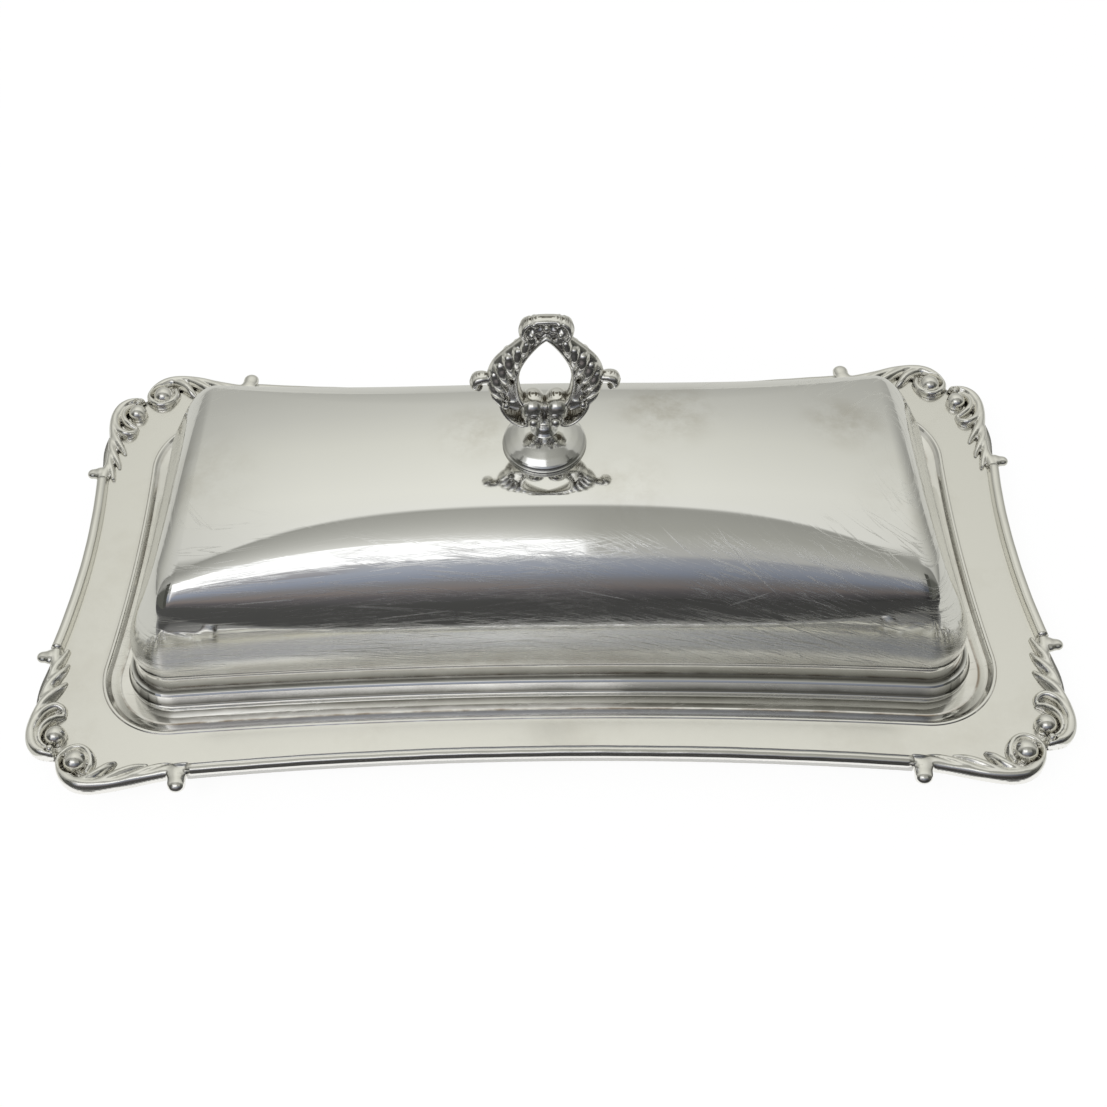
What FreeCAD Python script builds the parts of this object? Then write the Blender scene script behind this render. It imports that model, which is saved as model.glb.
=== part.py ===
import FreeCAD, Part
import math
import os
import Sketcher

# Covered butter dish in silver plate: a footed tray with cast corner scrolls, a glass liner
# in the tray's well, and an arched cover with an openwork finial.
# Frame: X along the dish, Y across it, Z up, origin on the table under the middle of the dish.

vector = FreeCAD.Vector
acrossDish = vector(0, 1, 0)
upward = vector(0, 0, 1)
doc = FreeCAD.newDocument("CoveredButterDish")
sheet = doc.addObject("Spreadsheet::Sheet", "Sizes")
subParts = []

# Driving sizes in millimetres and degrees
drivingSizes = [
    # outer rim of the tray, between the corner scrolls
    ("rimHalfLength", 116.0),
    ("rimHalfWidth", 58.3),
    ("rimSideRadius", 914.0),
    ("rimEndRadius", 214.0),
    # stamped tray pan
    ("panThickness", 1.0),
    ("panCornerRadius", 24.0),
    ("borderHeight", 7.5),
    ("ledgeHeight", 5.0),
    ("stepHalfLength", 102.2),
    ("stepHalfWidth", 47.0),
    ("stepSideRadius", 1200.0),
    ("stepEndRadius", 450.0),
    ("stepCornerRadius", 17.0),
    ("stepRun", 2.75),
    ("stepRound", 0.9),
    ("ledgeWidth", 9.2),
    ("wellRun", 1.2),
    ("wellRound", 0.8),
    ("panOverlap", 2.0),
    # rim mouldings soldered on the edge of the pan
    ("mouldingWidth", 2.8),
    ("mouldingRise", 2.2),
    ("mouldingLap", 1.0),
    ("mouldingRound", 0.8),
    ("mouldingBeadRise", 0.7),
    ("solderGap", 0.1),
    # cast corner scrolls
    ("notchInX", 5.6),
    ("notchInY", 0.8),
    ("armLength", 28.3),
    ("armReach", 8.5),
    ("armButt", 2.0),
    ("castingPlate", 0.9),
    ("scrollRadius", 1.45),
    ("bossRadius", 2.3),
    ("lobeRadius", 1.5),
    ("prongRadius", 1.0),
    # glass liner
    ("linerGap", 1.3),
    ("linerCornerRadius", 9.0),
    ("linerHeight", 13.0),
    ("linerWall", 2.4),
    ("linerFloor", 3.0),
    ("linerRimRound", 0.8),
    ("linerInnerRound", 2.0),
    # stepped foot moulding of the cover
    ("footHalfLength", 98.5),
    ("footHalfWidth", 39.4),
    ("footSideRadius", 1320.0),
    ("footEndRadius", 700.0),
    ("footCornerRadius", 12.0),
    ("footRise", 8.0),
    ("footRetreat", 3.2),
    ("footToe", 0.5),
    ("footLowRise", 3.9),
    ("footShelf", 1.7),
    ("footLean", 0.15),
    ("footRound", 0.35),
    ("footFlange", 4.8),
    ("seatDepth", 2.0),
    # arched shell of the cover
    ("coverThickness", 1.0),
    ("coverApex", 48.0),
    ("coverLean", 4.5),
    ("topRadius", 90.0),
    ("crownRadius", 650.0),
    ("shoulderRadius", 25.5),
    ("endShoulderRadius", 9.5),
    ("endLean", 20.0),
    ("creaseRadius", 4.0),
    ("cornerTuck", 2.5),
    # finial and its fastening
    ("finialFootRadius", 9.45),
    ("finialFootRim", 0.7),
    ("finialFootRise", 5.4),
    ("finialNeckRadius", 3.9),
    ("finialWaistRadius", 5.6),
    ("finialHeight", 38.0),
    ("finialHalfSpan", 16.3),
    ("finialDepth", 6.4),
    ("finialTenon", 5.0),
    ("studRadius", 1.6),
    ("studBelow", 3.6),
    ("studSocket", 4.0),
    ("studGap", 0.15),
    ("washerRadius", 5.0),
    ("washerThickness", 0.8),
    ("nutAcross", 7.0),
    ("nutThickness", 2.6),
    # shared
    ("cutOverrun", 1.0),
]


class Size:
    """A length or angle that knows its number and its spreadsheet expression."""

    def __init__(self, value, text):
        self.value = value
        self.text = text

    def __add__(self, other):
        return Size(self.value + numberOf(other), "(" + self.text + " + " + textOf(other) + ")")

    def __sub__(self, other):
        return Size(self.value - numberOf(other), "(" + self.text + " - " + textOf(other) + ")")

    def __mul__(self, other):
        return Size(self.value * numberOf(other), "(" + self.text + " * " + textOf(other) + ")")

    def __truediv__(self, other):
        return Size(self.value / numberOf(other), "(" + self.text + " / " + textOf(other) + ")")

    def __neg__(self):
        return Size(-self.value, "(0 - " + self.text + ")")


def numberOf(thing):
    return thing.value if isinstance(thing, Size) else thing


def textOf(thing):
    return thing.text if isinstance(thing, Size) else repr(thing)


def rootOf(size):
    return Size(math.sqrt(size.value), "sqrt(" + size.text + ")")


def tangentOf(angle):
    return Size(math.tan(math.radians(angle.value)), "tan(" + angle.text + ")")


def cosineOf(angle):
    return Size(math.cos(math.radians(angle.value)), "cos(" + angle.text + ")")


def sineOf(angle):
    return Size(math.sin(math.radians(angle.value)), "sin(" + angle.text + ")")


def arcTangentOf(ratio):
    return Size(math.degrees(math.atan(ratio.value)), "(atan(" + ratio.text + ") / 1 deg)")


def arcSineOf(ratio):
    return Size(math.degrees(math.asin(ratio.value)), "asin(" + ratio.text + ")")


zero = Size(0.0, "0")


def fillSheet():
    for row, (alias, value) in enumerate(drivingSizes, start=1):
        sheet.set("A" + str(row), alias)
        sheet.set("B" + str(row), str(value))
        sheet.setAlias("B" + str(row), alias)
    doc.recompute()


fillSheet()
size = {alias: Size(float(sheet.get(alias)), "Sizes." + alias) for alias, value in drivingSizes}
workedOut = []


def workOut(alias, result):
    """Gives a worked-out size its own row in the sheet, below the driving sizes."""
    workedOut.append(alias)
    row = str(len(drivingSizes) + len(workedOut))
    sheet.set("A" + row, alias)
    sheet.set("B" + row, "=" + result.text.replace("Sizes.", ""))
    sheet.setAlias("B" + row, alias)
    return Size(result.value, "Sizes." + alias)


class Outline:
    """A rectangle with four slightly hollow sides and four round corners."""

    def __init__(self, halfLength, halfWidth, sideRadius, endRadius, cornerRadius):
        self.halfLength = halfLength
        self.halfWidth = halfWidth
        self.sideRadius = sideRadius
        self.endRadius = endRadius
        self.cornerRadius = cornerRadius

    def grown(self, step):
        return Outline(self.halfLength + step, self.halfWidth + step, self.sideRadius - step,
                       self.endRadius - step, self.cornerRadius + step)

    def cornerCentre(self):
        """Centre of the round corner at +X +Y, tangent to a long side and to an end."""
        sideY = self.halfWidth.value + self.sideRadius.value
        endX = self.halfLength.value + self.endRadius.value
        fromSide = self.sideRadius.value + self.cornerRadius.value
        fromEnd = self.endRadius.value + self.cornerRadius.value
        apart = math.hypot(endX, sideY)
        along = (fromSide ** 2 - fromEnd ** 2 + apart ** 2) / (2 * apart)
        off = math.sqrt(fromSide ** 2 - along ** 2)
        unitX = endX / apart
        unitY = -sideY / apart
        footX = along * unitX
        footY = sideY + along * unitY
        return footX + off * unitY, footY - off * unitX

    def arcs(self):
        """The eight arcs as x, y, radius, first and last angle."""
        x, y = self.cornerCentre()
        sideY = self.halfWidth.value + self.sideRadius.value
        endX = self.halfLength.value + self.endRadius.value
        side = math.atan2(x, sideY - y)
        end = math.atan2(y, endX - x)
        quarter = math.pi / 2
        longRadius = self.sideRadius.value
        shortRadius = self.endRadius.value
        corner = self.cornerRadius.value
        return [
            (0, sideY, longRadius, -quarter - side, -quarter + side),
            (endX, 0, shortRadius, 2 * quarter - end, 2 * quarter + end),
            (0, -sideY, longRadius, quarter - side, quarter + side),
            (-endX, 0, shortRadius, -end, end),
            (x, y, corner, -end, quarter + side),
            (-x, y, corner, quarter - side, 2 * quarter + end),
            (-x, -y, corner, 2 * quarter - end, 3 * quarter + side),
            (x, -y, corner, 3 * quarter - side, 4 * quarter + end),
        ]

    def prism(self, low, high):
        """A solid of this outline between two heights."""
        edges = []
        for x, y, radius, first, last in self.arcs():
            circle = Part.Circle(vector(x, y, low.value), vector(0, 0, 1), radius)
            edges.append(Part.ArcOfCircle(circle, first, last).toShape())
        wire = Part.Wire(Part.__sortEdges__(edges))
        return Part.Face(wire).extrude(vector(0, 0, (high - low).value))


rim = Outline(size["rimHalfLength"], size["rimHalfWidth"], size["rimSideRadius"],
              size["rimEndRadius"], size["panCornerRadius"])
panEdge = rim.grown(-size["mouldingLap"])
step = Outline(size["stepHalfLength"], size["stepHalfWidth"], size["stepSideRadius"],
               size["stepEndRadius"], size["stepCornerRadius"])
foot = Outline(size["footHalfLength"], size["footHalfWidth"], size["footSideRadius"],
               size["footEndRadius"], size["footCornerRadius"])
wellEdge = step.grown(-(size["stepRun"] + size["ledgeWidth"] + size["wellRun"]))
linerHalfLength = wellEdge.halfLength - size["linerGap"]
linerHalfWidth = wellEdge.halfWidth - size["linerGap"]

footBottom = size["ledgeHeight"]
footTop = footBottom + size["footRise"]
coverBase = footTop - size["seatDepth"]
borderUnder = size["borderHeight"] - size["panThickness"]
plateTop = size["borderHeight"] + size["castingPlate"]


def rimDepth(across, radius):
    """How far a hollow side has moved outward at a distance from its middle."""
    return radius - rootOf(radius * radius - across * across)


def keep(item, label):
    item.Label = label
    subParts.append(item)


def newBody(name):
    body = doc.addObject("PartDesign::Body", name + "_body")
    keep(body, name)
    return body


def newSketch(body, name, role, height=None):
    sketch = body.newObject("Sketcher::SketchObject", name)
    plane = [item for item in body.Origin.OriginFeatures if item.Role == role][0]
    sketch.AttachmentSupport = [(plane, "")]
    sketch.MapMode = "FlatFace"
    if height is not None:
        sketch.setExpression("AttachmentOffset.Base.z", height.text)
    return sketch


def dimension(sketch, kind, places, length, name):
    index = sketch.addConstraint(Sketcher.Constraint(kind, *places, length.value))
    sketch.renameConstraint(index, name)
    sketch.setExpression("Constraints." + name, length.text)


def drawOutline(sketch, outline):
    """Eight tangent arcs, held by their radii and by the centres of the four sides."""
    first = sketch.GeometryCount
    for x, y, radius, start, end in outline.arcs():
        circle = Part.Circle(vector(x, y, 0), vector(0, 0, 1), radius)
        sketch.addGeometry(Part.ArcOfCircle(circle, start, end), False)
    back, right, front, left, corner = (first + place for place in range(5))
    joints = [(back, 1, corner + 1, 1), (back, 2, corner, 2), (right, 1, corner, 1),
              (right, 2, corner + 3, 2), (front, 1, corner + 3, 1), (front, 2, corner + 2, 2),
              (left, 1, corner + 2, 1), (left, 2, corner + 1, 2)]
    rules = [Sketcher.Constraint("Tangent", *joint) for joint in joints]
    rules += [Sketcher.Constraint("PointOnObject", arc, 3, -2) for arc in (back, front)]
    rules += [Sketcher.Constraint("PointOnObject", arc, 3, -1) for arc in (right, left)]
    rules += [Sketcher.Constraint("Equal", back, front), Sketcher.Constraint("Equal", right, left)]
    rules += [Sketcher.Constraint("Equal", corner, corner + turn) for turn in (1, 2, 3)]
    sketch.addConstraint(rules)
    tag = "outline" + str(first)
    sideCentre = outline.halfWidth + outline.sideRadius
    endCentre = outline.halfLength + outline.endRadius
    dimension(sketch, "Radius", (back,), outline.sideRadius, tag + "SideRadius")
    dimension(sketch, "Radius", (right,), outline.endRadius, tag + "EndRadius")
    dimension(sketch, "Radius", (corner,), outline.cornerRadius, tag + "CornerRadius")
    dimension(sketch, "DistanceY", (-1, 1, back, 3), sideCentre, tag + "Back")
    dimension(sketch, "DistanceY", (front, 3, -1, 1), sideCentre, tag + "Front")
    dimension(sketch, "DistanceX", (-1, 1, right, 3), endCentre, tag + "Right")
    dimension(sketch, "DistanceX", (left, 3, -1, 1), endCentre, tag + "Left")


def cornerArc(before, corner, after, radius):
    """Arc of a radius that rounds the corner between two straight runs."""
    inward = (before - corner).normalize()
    outward = (after - corner).normalize()
    half = inward.getAngle(outward) / 2
    middle = corner + (inward + outward).normalize() * (radius / math.sin(half))
    start = corner + inward * (radius / math.tan(half))
    end = corner + outward * (radius / math.tan(half))
    bisector = corner + (middle - corner) * (1 - radius / (middle - corner).Length)
    return start, bisector, end


def drawProfile(sketch, points):
    """A closed profile of straight runs; a point is x, y and, where it is rounded, a radius."""
    count = len(points)
    places = [vector(point[0].value, point[1].value, 0) for point in points]
    starts = {}
    ends = {}
    arcs = {}
    for turn, point in enumerate(points):
        if len(point) == 3:
            before = places[turn - 1]
            after = places[(turn + 1) % count]
            start, middle, end = cornerArc(before, places[turn], after, point[2].value)
            arcs[turn] = Part.Arc(start, middle, end)
            starts[turn] = end
            ends[turn] = start
        else:
            starts[turn] = places[turn]
            ends[turn] = places[turn]
    for turn in range(count):
        following = (turn + 1) % count
        sketch.addGeometry(Part.LineSegment(starts[turn], ends[following]), False)
    for turn in range(count):
        line = turn
        previous = (turn - 1) % count
        tag = "point" + str(turn)
        if turn in arcs:
            arc = sketch.addGeometry(arcs[turn], False)
            dot = sketch.addGeometry(Part.Point(places[turn]), True)
            begin = sketch.getPoint(arc, 1)
            atStart = (begin - ends[turn]).Length < (begin - starts[turn]).Length
            sketch.addConstraint([
                Sketcher.Constraint("Tangent", previous, 2, arc, 1 if atStart else 2),
                Sketcher.Constraint("Tangent", line, 1, arc, 2 if atStart else 1),
                Sketcher.Constraint("PointOnObject", dot, 1, previous),
                Sketcher.Constraint("PointOnObject", dot, 1, line),
            ])
            dimension(sketch, "Radius", (arc,), points[turn][2], tag + "Radius")
            held = (dot, 1)
        else:
            sketch.addConstraint(Sketcher.Constraint("Coincident", previous, 2, line, 1))
            held = (line, 1)
        dimension(sketch, "DistanceX", (-1, 1) + held, points[turn][0], tag + "X")
        dimension(sketch, "DistanceY", (-1, 1) + held, points[turn][1], tag + "Y")


def drawRectangle(sketch, halfLength, halfWidth, cornerRadius):
    """A rectangle round the sketch's origin with round corners."""
    drawProfile(sketch, [
        (-halfLength, -halfWidth, cornerRadius),
        (halfLength, -halfWidth, cornerRadius),
        (halfLength, halfWidth, cornerRadius),
        (-halfLength, halfWidth, cornerRadius),
    ])


def pad(body, name, sketch, length):
    feature = body.newObject("PartDesign::Pad", name)
    feature.Profile = sketch
    feature.setExpression("Length", length.text)
    return feature


def pocket(body, name, sketch, depth):
    feature = body.newObject("PartDesign::Pocket", name)
    feature.Profile = sketch
    feature.setExpression("Length", depth.text)
    return feature


def sweepRound(body, name, profile, path):
    feature = body.newObject("PartDesign::AdditivePipe", name)
    feature.Profile = profile
    feature.Spine = (path, [])
    return feature


def traySheet():
    """The stamped pan: a flat border, a step down to the ledge, and the well."""
    body = newBody("tray_pan")
    thick = size["panThickness"]
    path = newSketch(body, "step_line", "XY_Plane")
    drawOutline(path, step)
    drop = size["borderHeight"] - size["ledgeHeight"]
    wellDrop = size["ledgeHeight"] - thick
    stepSlope = rootOf(size["stepRun"] * size["stepRun"] + drop * drop)
    wellSlope = rootOf(size["wellRun"] * size["wellRun"] + wellDrop * wellDrop)
    stepShift = thick * (stepSlope - size["stepRun"]) / drop
    wellShift = thick * (wellSlope - size["wellRun"]) / wellDrop
    start = -step.halfWidth
    border = start - size["panOverlap"]
    shelf = start + size["stepRun"]
    lip = shelf + size["ledgeWidth"]
    floor = lip + size["wellRun"]
    inner = floor + size["panOverlap"]
    under = size["ledgeHeight"] - thick
    profile = newSketch(body, "pan_section", "YZ_Plane")
    drawProfile(profile, [
        (border, size["borderHeight"]),
        (start, size["borderHeight"], size["stepRound"]),
        (shelf, size["ledgeHeight"], size["stepRound"]),
        (lip, size["ledgeHeight"], size["wellRound"]),
        (floor, thick, size["wellRound"]),
        (inner, thick),
        (inner, zero),
        (floor - wellShift, zero),
        (lip - wellShift, under),
        (shelf - stepShift, under),
        (start - stepShift, borderUnder),
        (border, borderUnder),
    ])
    sweepRound(body, "pan_wall", profile, path)
    border = newSketch(body, "border_plan", "XY_Plane", borderUnder)
    drawOutline(border, panEdge)
    drawOutline(border, step.grown(size["panOverlap"] / 2))
    pad(body, "pan_border", border, thick)
    floorPlan = newSketch(body, "floor_plan", "XY_Plane")
    drawOutline(floorPlan, wellEdge.grown(-size["panOverlap"] / 2))
    pad(body, "pan_floor", floorPlan, thick)


def rimMoulding(name, half, radius, buttAt, turned):
    """A length of half-round edge moulding that laps over the edge of the pan."""
    body = newBody(name)
    section = newSketch(body, name + "_section", "YZ_Plane")
    outer = -half
    lap = outer + size["mouldingLap"] - size["solderGap"]
    inner = outer + size["mouldingWidth"]
    top = size["borderHeight"] + size["mouldingRise"]
    drawProfile(section, [
        (outer, borderUnder),
        (outer, top, size["mouldingRound"]),
        (outer + size["mouldingWidth"] / 2, top, size["mouldingRound"]),
        (inner, size["borderHeight"] + size["mouldingBeadRise"]),
        (inner, size["borderHeight"]),
        (lap, size["borderHeight"]),
        (lap, borderUnder),
    ])
    centre = half + radius
    axis = section.addGeometry(Part.LineSegment(vector(-centre.value, 0, 0),
                                                vector(-centre.value, half.value, 0)), True)
    section.addConstraint([Sketcher.Constraint("Vertical", axis),
                           Sketcher.Constraint("PointOnObject", axis, 1, -1)])
    dimension(section, "DistanceX", (axis, 1, -1, 1), centre, "axisPlace")
    dimension(section, "DistanceY", (axis, 1, axis, 2), half, "axisLength")
    feature = body.newObject("PartDesign::Revolution", name + "_turn")
    feature.Profile = section
    feature.ReferenceAxis = (section, ["Axis0"])
    feature.Midplane = True
    feature.setExpression("Angle", (arcSineOf(buttAt / radius) * 2).text)
    body.Placement = FreeCAD.Placement(vector(0, 0, 0), FreeCAD.Rotation(vector(0, 0, 1), turned))


# The corner casting is drawn on two arms that leave the notch at the corner: one along the
# long side, one along the end. A place is a share of the arm's length away from the notch and
# a share of the arm's reach outward.
contourShares = [(0.10, 0.62), (0.27, 1.0), (0.46, 0.93), (0.68, 0.70), (0.88, 0.60)]
prongShares = [(1.0, 0.86), (1.035, 0.58)]
innerShares = [(0.72, 0.21), (0.45, 0.0), (0.33, -0.29)]
scrollShares = [(0.86, 0.50, 0.60), (0.66, 0.54, 0.80), (0.44, 0.74, 0.95), (0.27, 0.80, 1.0),
                (0.125, 0.56, 0.95), (0.085, 0.19, 0.80), (0.14, -0.09, 0.70), (0.23, -0.12, 0.55)]
bossShare = (0.20, 0.27)
lobeShares = [(0.385, 0.70, 0.325, 0.10, 1.0), (0.525, 0.62, 0.475, 0.12, 0.9),
              (0.665, 0.53, 0.635, 0.20, 0.75)]
prongBudShares = [(0.955, 0.50, 0.9), (0.985, 0.66, 1.0), (1.0, 0.80, 0.7), (1.005, 0.90, 0.45)]

notchX = size["rimHalfLength"] - size["notchInX"]
notchY = size["rimHalfWidth"] - size["notchInY"]
sideButt = notchX - size["armLength"] - size["armButt"]
endButt = notchY - size["armLength"] - size["armButt"]


def tube(places, radii, flat):
    """A tapering round bar through places in a plane, whose normal is the direction flat."""
    sections = []
    last = len(places) - 1
    for turn, place in enumerate(places):
        ahead = places[min(turn + 1, last)]
        behind = places[max(turn - 1, 0)]
        circle = Part.Circle(place, ahead - behind, radii[turn])
        circle.XAxis = flat
        sections.append(Part.Wire([circle.toShape()]))
    return Part.makeLoft(sections, True, False)


def armPlace(alongShare, outShare, onSide, height):
    """A place on an arm of the corner casting, in the frame of the dish."""
    away = size["armLength"].value * alongShare
    out = size["armReach"].value * outShare
    butt = (size["armLength"] + size["armButt"]).value
    sideDrift = rimDepth(sideButt, size["rimSideRadius"]) + size["notchInY"]
    endDrift = rimDepth(endButt, size["rimEndRadius"]) + size["notchInX"]
    drift = (endDrift - sideDrift).value * (away / butt) ** 2
    if onSide:
        return vector(notchX.value - away, notchY.value + out, height)
    return vector(notchX.value + out + drift, notchY.value - away, height)


def castingContour(onSide, level):
    """Outer edge of one arm from the notch to the butt with the moulding."""
    notch = vector(notchX.value, notchY.value, level)
    wave = [armPlace(along, out, onSide, level) for along, out in contourShares]
    tip, heel = [armPlace(along, out, onSide, level) for along, out in prongShares]
    curve = Part.BSplineCurve()
    curve.interpolate([notch] + wave)
    width = size["mouldingWidth"].value
    if onSide:
        reach = (size["rimHalfWidth"] + rimDepth(sideButt, size["rimSideRadius"])).value
        butt = vector(sideButt.value, reach, level)
        inner = butt - vector(0, width, 0)
    else:
        reach = (size["rimHalfLength"] + rimDepth(endButt, size["rimEndRadius"])).value
        butt = vector(reach, endButt.value, level)
        inner = butt - vector(width, 0, 0)
    corners = [wave[-1], tip, heel, butt, inner]
    lines = [Part.LineSegment(first, second).toShape() for first, second in zip(corners, corners[1:])]
    return [curve.toShape()] + lines, inner


def cornerCasting():
    """A cast mount of two scrolls back to back, with leaf lobes and a prong at each end."""
    low = borderUnder.value
    deck = plateTop.value
    sideEdges, sideInner = castingContour(True, low)
    endEdges, endInner = castingContour(False, low)
    inside = [armPlace(along, out, True, low) for along, out in innerShares]
    inside += [armPlace(along, out, False, low) for along, out in reversed(innerShares)]
    inner = Part.BSplineCurve()
    inner.interpolate([sideInner] + inside + [endInner])
    wire = Part.Wire(Part.__sortEdges__(sideEdges + endEdges + [inner.toShape()]))
    plate = Part.Face(wire).extrude(vector(0, 0, deck - low))
    seat = panEdge.grown(size["solderGap"])
    casting = plate.cut(seat.prism(borderUnder - size["cutOverrun"], size["borderHeight"]))
    ornaments = []
    for onSide in (True, False):
        places = [armPlace(along, out, onSide, deck) for along, out, girth in scrollShares]
        radii = [size["scrollRadius"].value * girth for along, out, girth in scrollShares]
        ornaments.append(tube(places, radii, upward))
        boss = armPlace(bossShare[0], bossShare[1], onSide, deck)
        ornaments.append(Part.makeSphere(size["bossRadius"].value, boss))
        for outerAlong, outerOut, innerAlong, innerOut, girth in lobeShares:
            start = armPlace(outerAlong, outerOut, onSide, deck)
            end = armPlace(innerAlong, innerOut, onSide, deck)
            radius = size["lobeRadius"].value * girth
            places = [start, (start + end) / 2, end]
            ornaments.append(tube(places, [radius / 2, radius, radius / 2], upward))
        places = [armPlace(along, out, onSide, deck) for along, out, girth in prongBudShares]
        radii = [size["prongRadius"].value * girth for along, out, girth in prongBudShares]
        ornaments.append(tube(places, radii, upward))
    above = Part.makeBox(size["rimHalfLength"].value, size["rimHalfLength"].value,
                         size["rimHalfLength"].value, vector(sideButt.value, endButt.value,
                                                             size["borderHeight"].value))
    for ornament in ornaments:
        casting = casting.fuse(ornament.common(above))
    return casting.removeSplitter()


def placeCasting(name, casting, signX, signY):
    if signX < 0:
        casting = casting.mirror(vector(0, 0, 0), vector(1, 0, 0))
    if signY < 0:
        casting = casting.mirror(vector(0, 0, 0), vector(0, 1, 0))
    feature = doc.addObject("Part::Feature", name + "_casting")
    feature.Shape = casting.Solids[0] if len(casting.Solids) == 1 else casting
    keep(feature, name)


def glassLiner():
    """The removable glass dish that stands in the well and holds the butter."""
    body = newBody("glass_liner")
    plan = newSketch(body, "liner_plan", "XY_Plane", size["panThickness"])
    drawRectangle(plan, linerHalfLength, linerHalfWidth, size["linerCornerRadius"])
    pad(body, "liner_block", plan, size["linerHeight"])
    wall = size["linerWall"]
    hollow = newSketch(body, "liner_hollow", "XY_Plane", size["panThickness"] + size["linerHeight"])
    drawRectangle(hollow, linerHalfLength - wall, linerHalfWidth - wall,
                  size["linerCornerRadius"] - wall)
    pocket(body, "liner_inside", hollow, size["linerHeight"] - size["linerFloor"])
    doc.recompute()
    roundEdgesAt(body, "liner_inside_round", "linerInnerRound",
                 size["panThickness"] + size["linerFloor"], body.Tip)
    roundEdgesAt(body, "liner_rim_round", "linerRimRound",
                 size["panThickness"] + size["linerHeight"], body.Tip)


def roundEdgesAt(body, name, radiusName, height, base):
    """Rounds every edge of the body that lies flat at a height."""
    edges = []
    for turn, edge in enumerate(base.Shape.Edges, start=1):
        box = edge.BoundBox
        near = size["linerRimRound"].value / 2
        if abs(box.ZMin - height.value) < near and abs(box.ZMax - height.value) < near:
            edges.append("Edge" + str(turn))
    feature = body.newObject("PartDesign::Fillet", name)
    feature.Base = (base, edges)
    feature.setExpression("Radius", size[radiusName].text)
    doc.recompute()


def coverFoot():
    """The stepped moulding that carries the cover on the ledge of the tray."""
    body = newBody("cover_foot_moulding")
    path = newSketch(body, "foot_line", "XY_Plane")
    drawOutline(path, foot)
    start = -foot.halfWidth
    toe = size["footToe"]
    lowTop = footBottom + size["footLowRise"]
    shelfEnd = start + toe + size["footLean"] + size["footShelf"]
    rimInner = start + size["footRetreat"] - size["solderGap"]
    seatInner = rimInner - size["seatDepth"] * tangentOf(size["endLean"])
    flange = start + size["footFlange"]
    section = newSketch(body, "foot_section", "YZ_Plane")
    drawProfile(section, [
        (start, footBottom),
        (start, footBottom + toe),
        (start + toe, footBottom + toe * 2),
        (start + toe + size["footLean"], lowTop, size["footRound"]),
        (shelfEnd, lowTop + size["footLean"]),
        (shelfEnd + size["footLean"], footTop, size["footRound"]),
        (rimInner, footTop),
        (seatInner, coverBase),
        (flange, coverBase),
        (flange, footBottom),
    ])
    sweepRound(body, "foot_band", section, path)


def archShape(halfBase, height, topRadius, shoulderRadius):
    """Centre of the shoulder and joints of an arch whose base line is at zero height."""
    lean = math.radians(size["coverLean"].value)
    alongX = math.sin(lean)
    alongY = math.cos(lean)
    shoulderX = -halfBase + shoulderRadius * alongY
    shoulderY = -shoulderRadius * alongX
    crownY = height - topRadius
    linear = shoulderX * alongX + (shoulderY - crownY) * alongY
    constant = shoulderX ** 2 + (shoulderY - crownY) ** 2 - (topRadius - shoulderRadius) ** 2
    slide = -linear + math.sqrt(linear ** 2 - constant)
    centre = vector(shoulderX + slide * alongX, shoulderY + slide * alongY, 0)
    turn = math.atan2(-centre.x, centre.y - crownY)
    return centre, turn, crownY, lean


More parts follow.
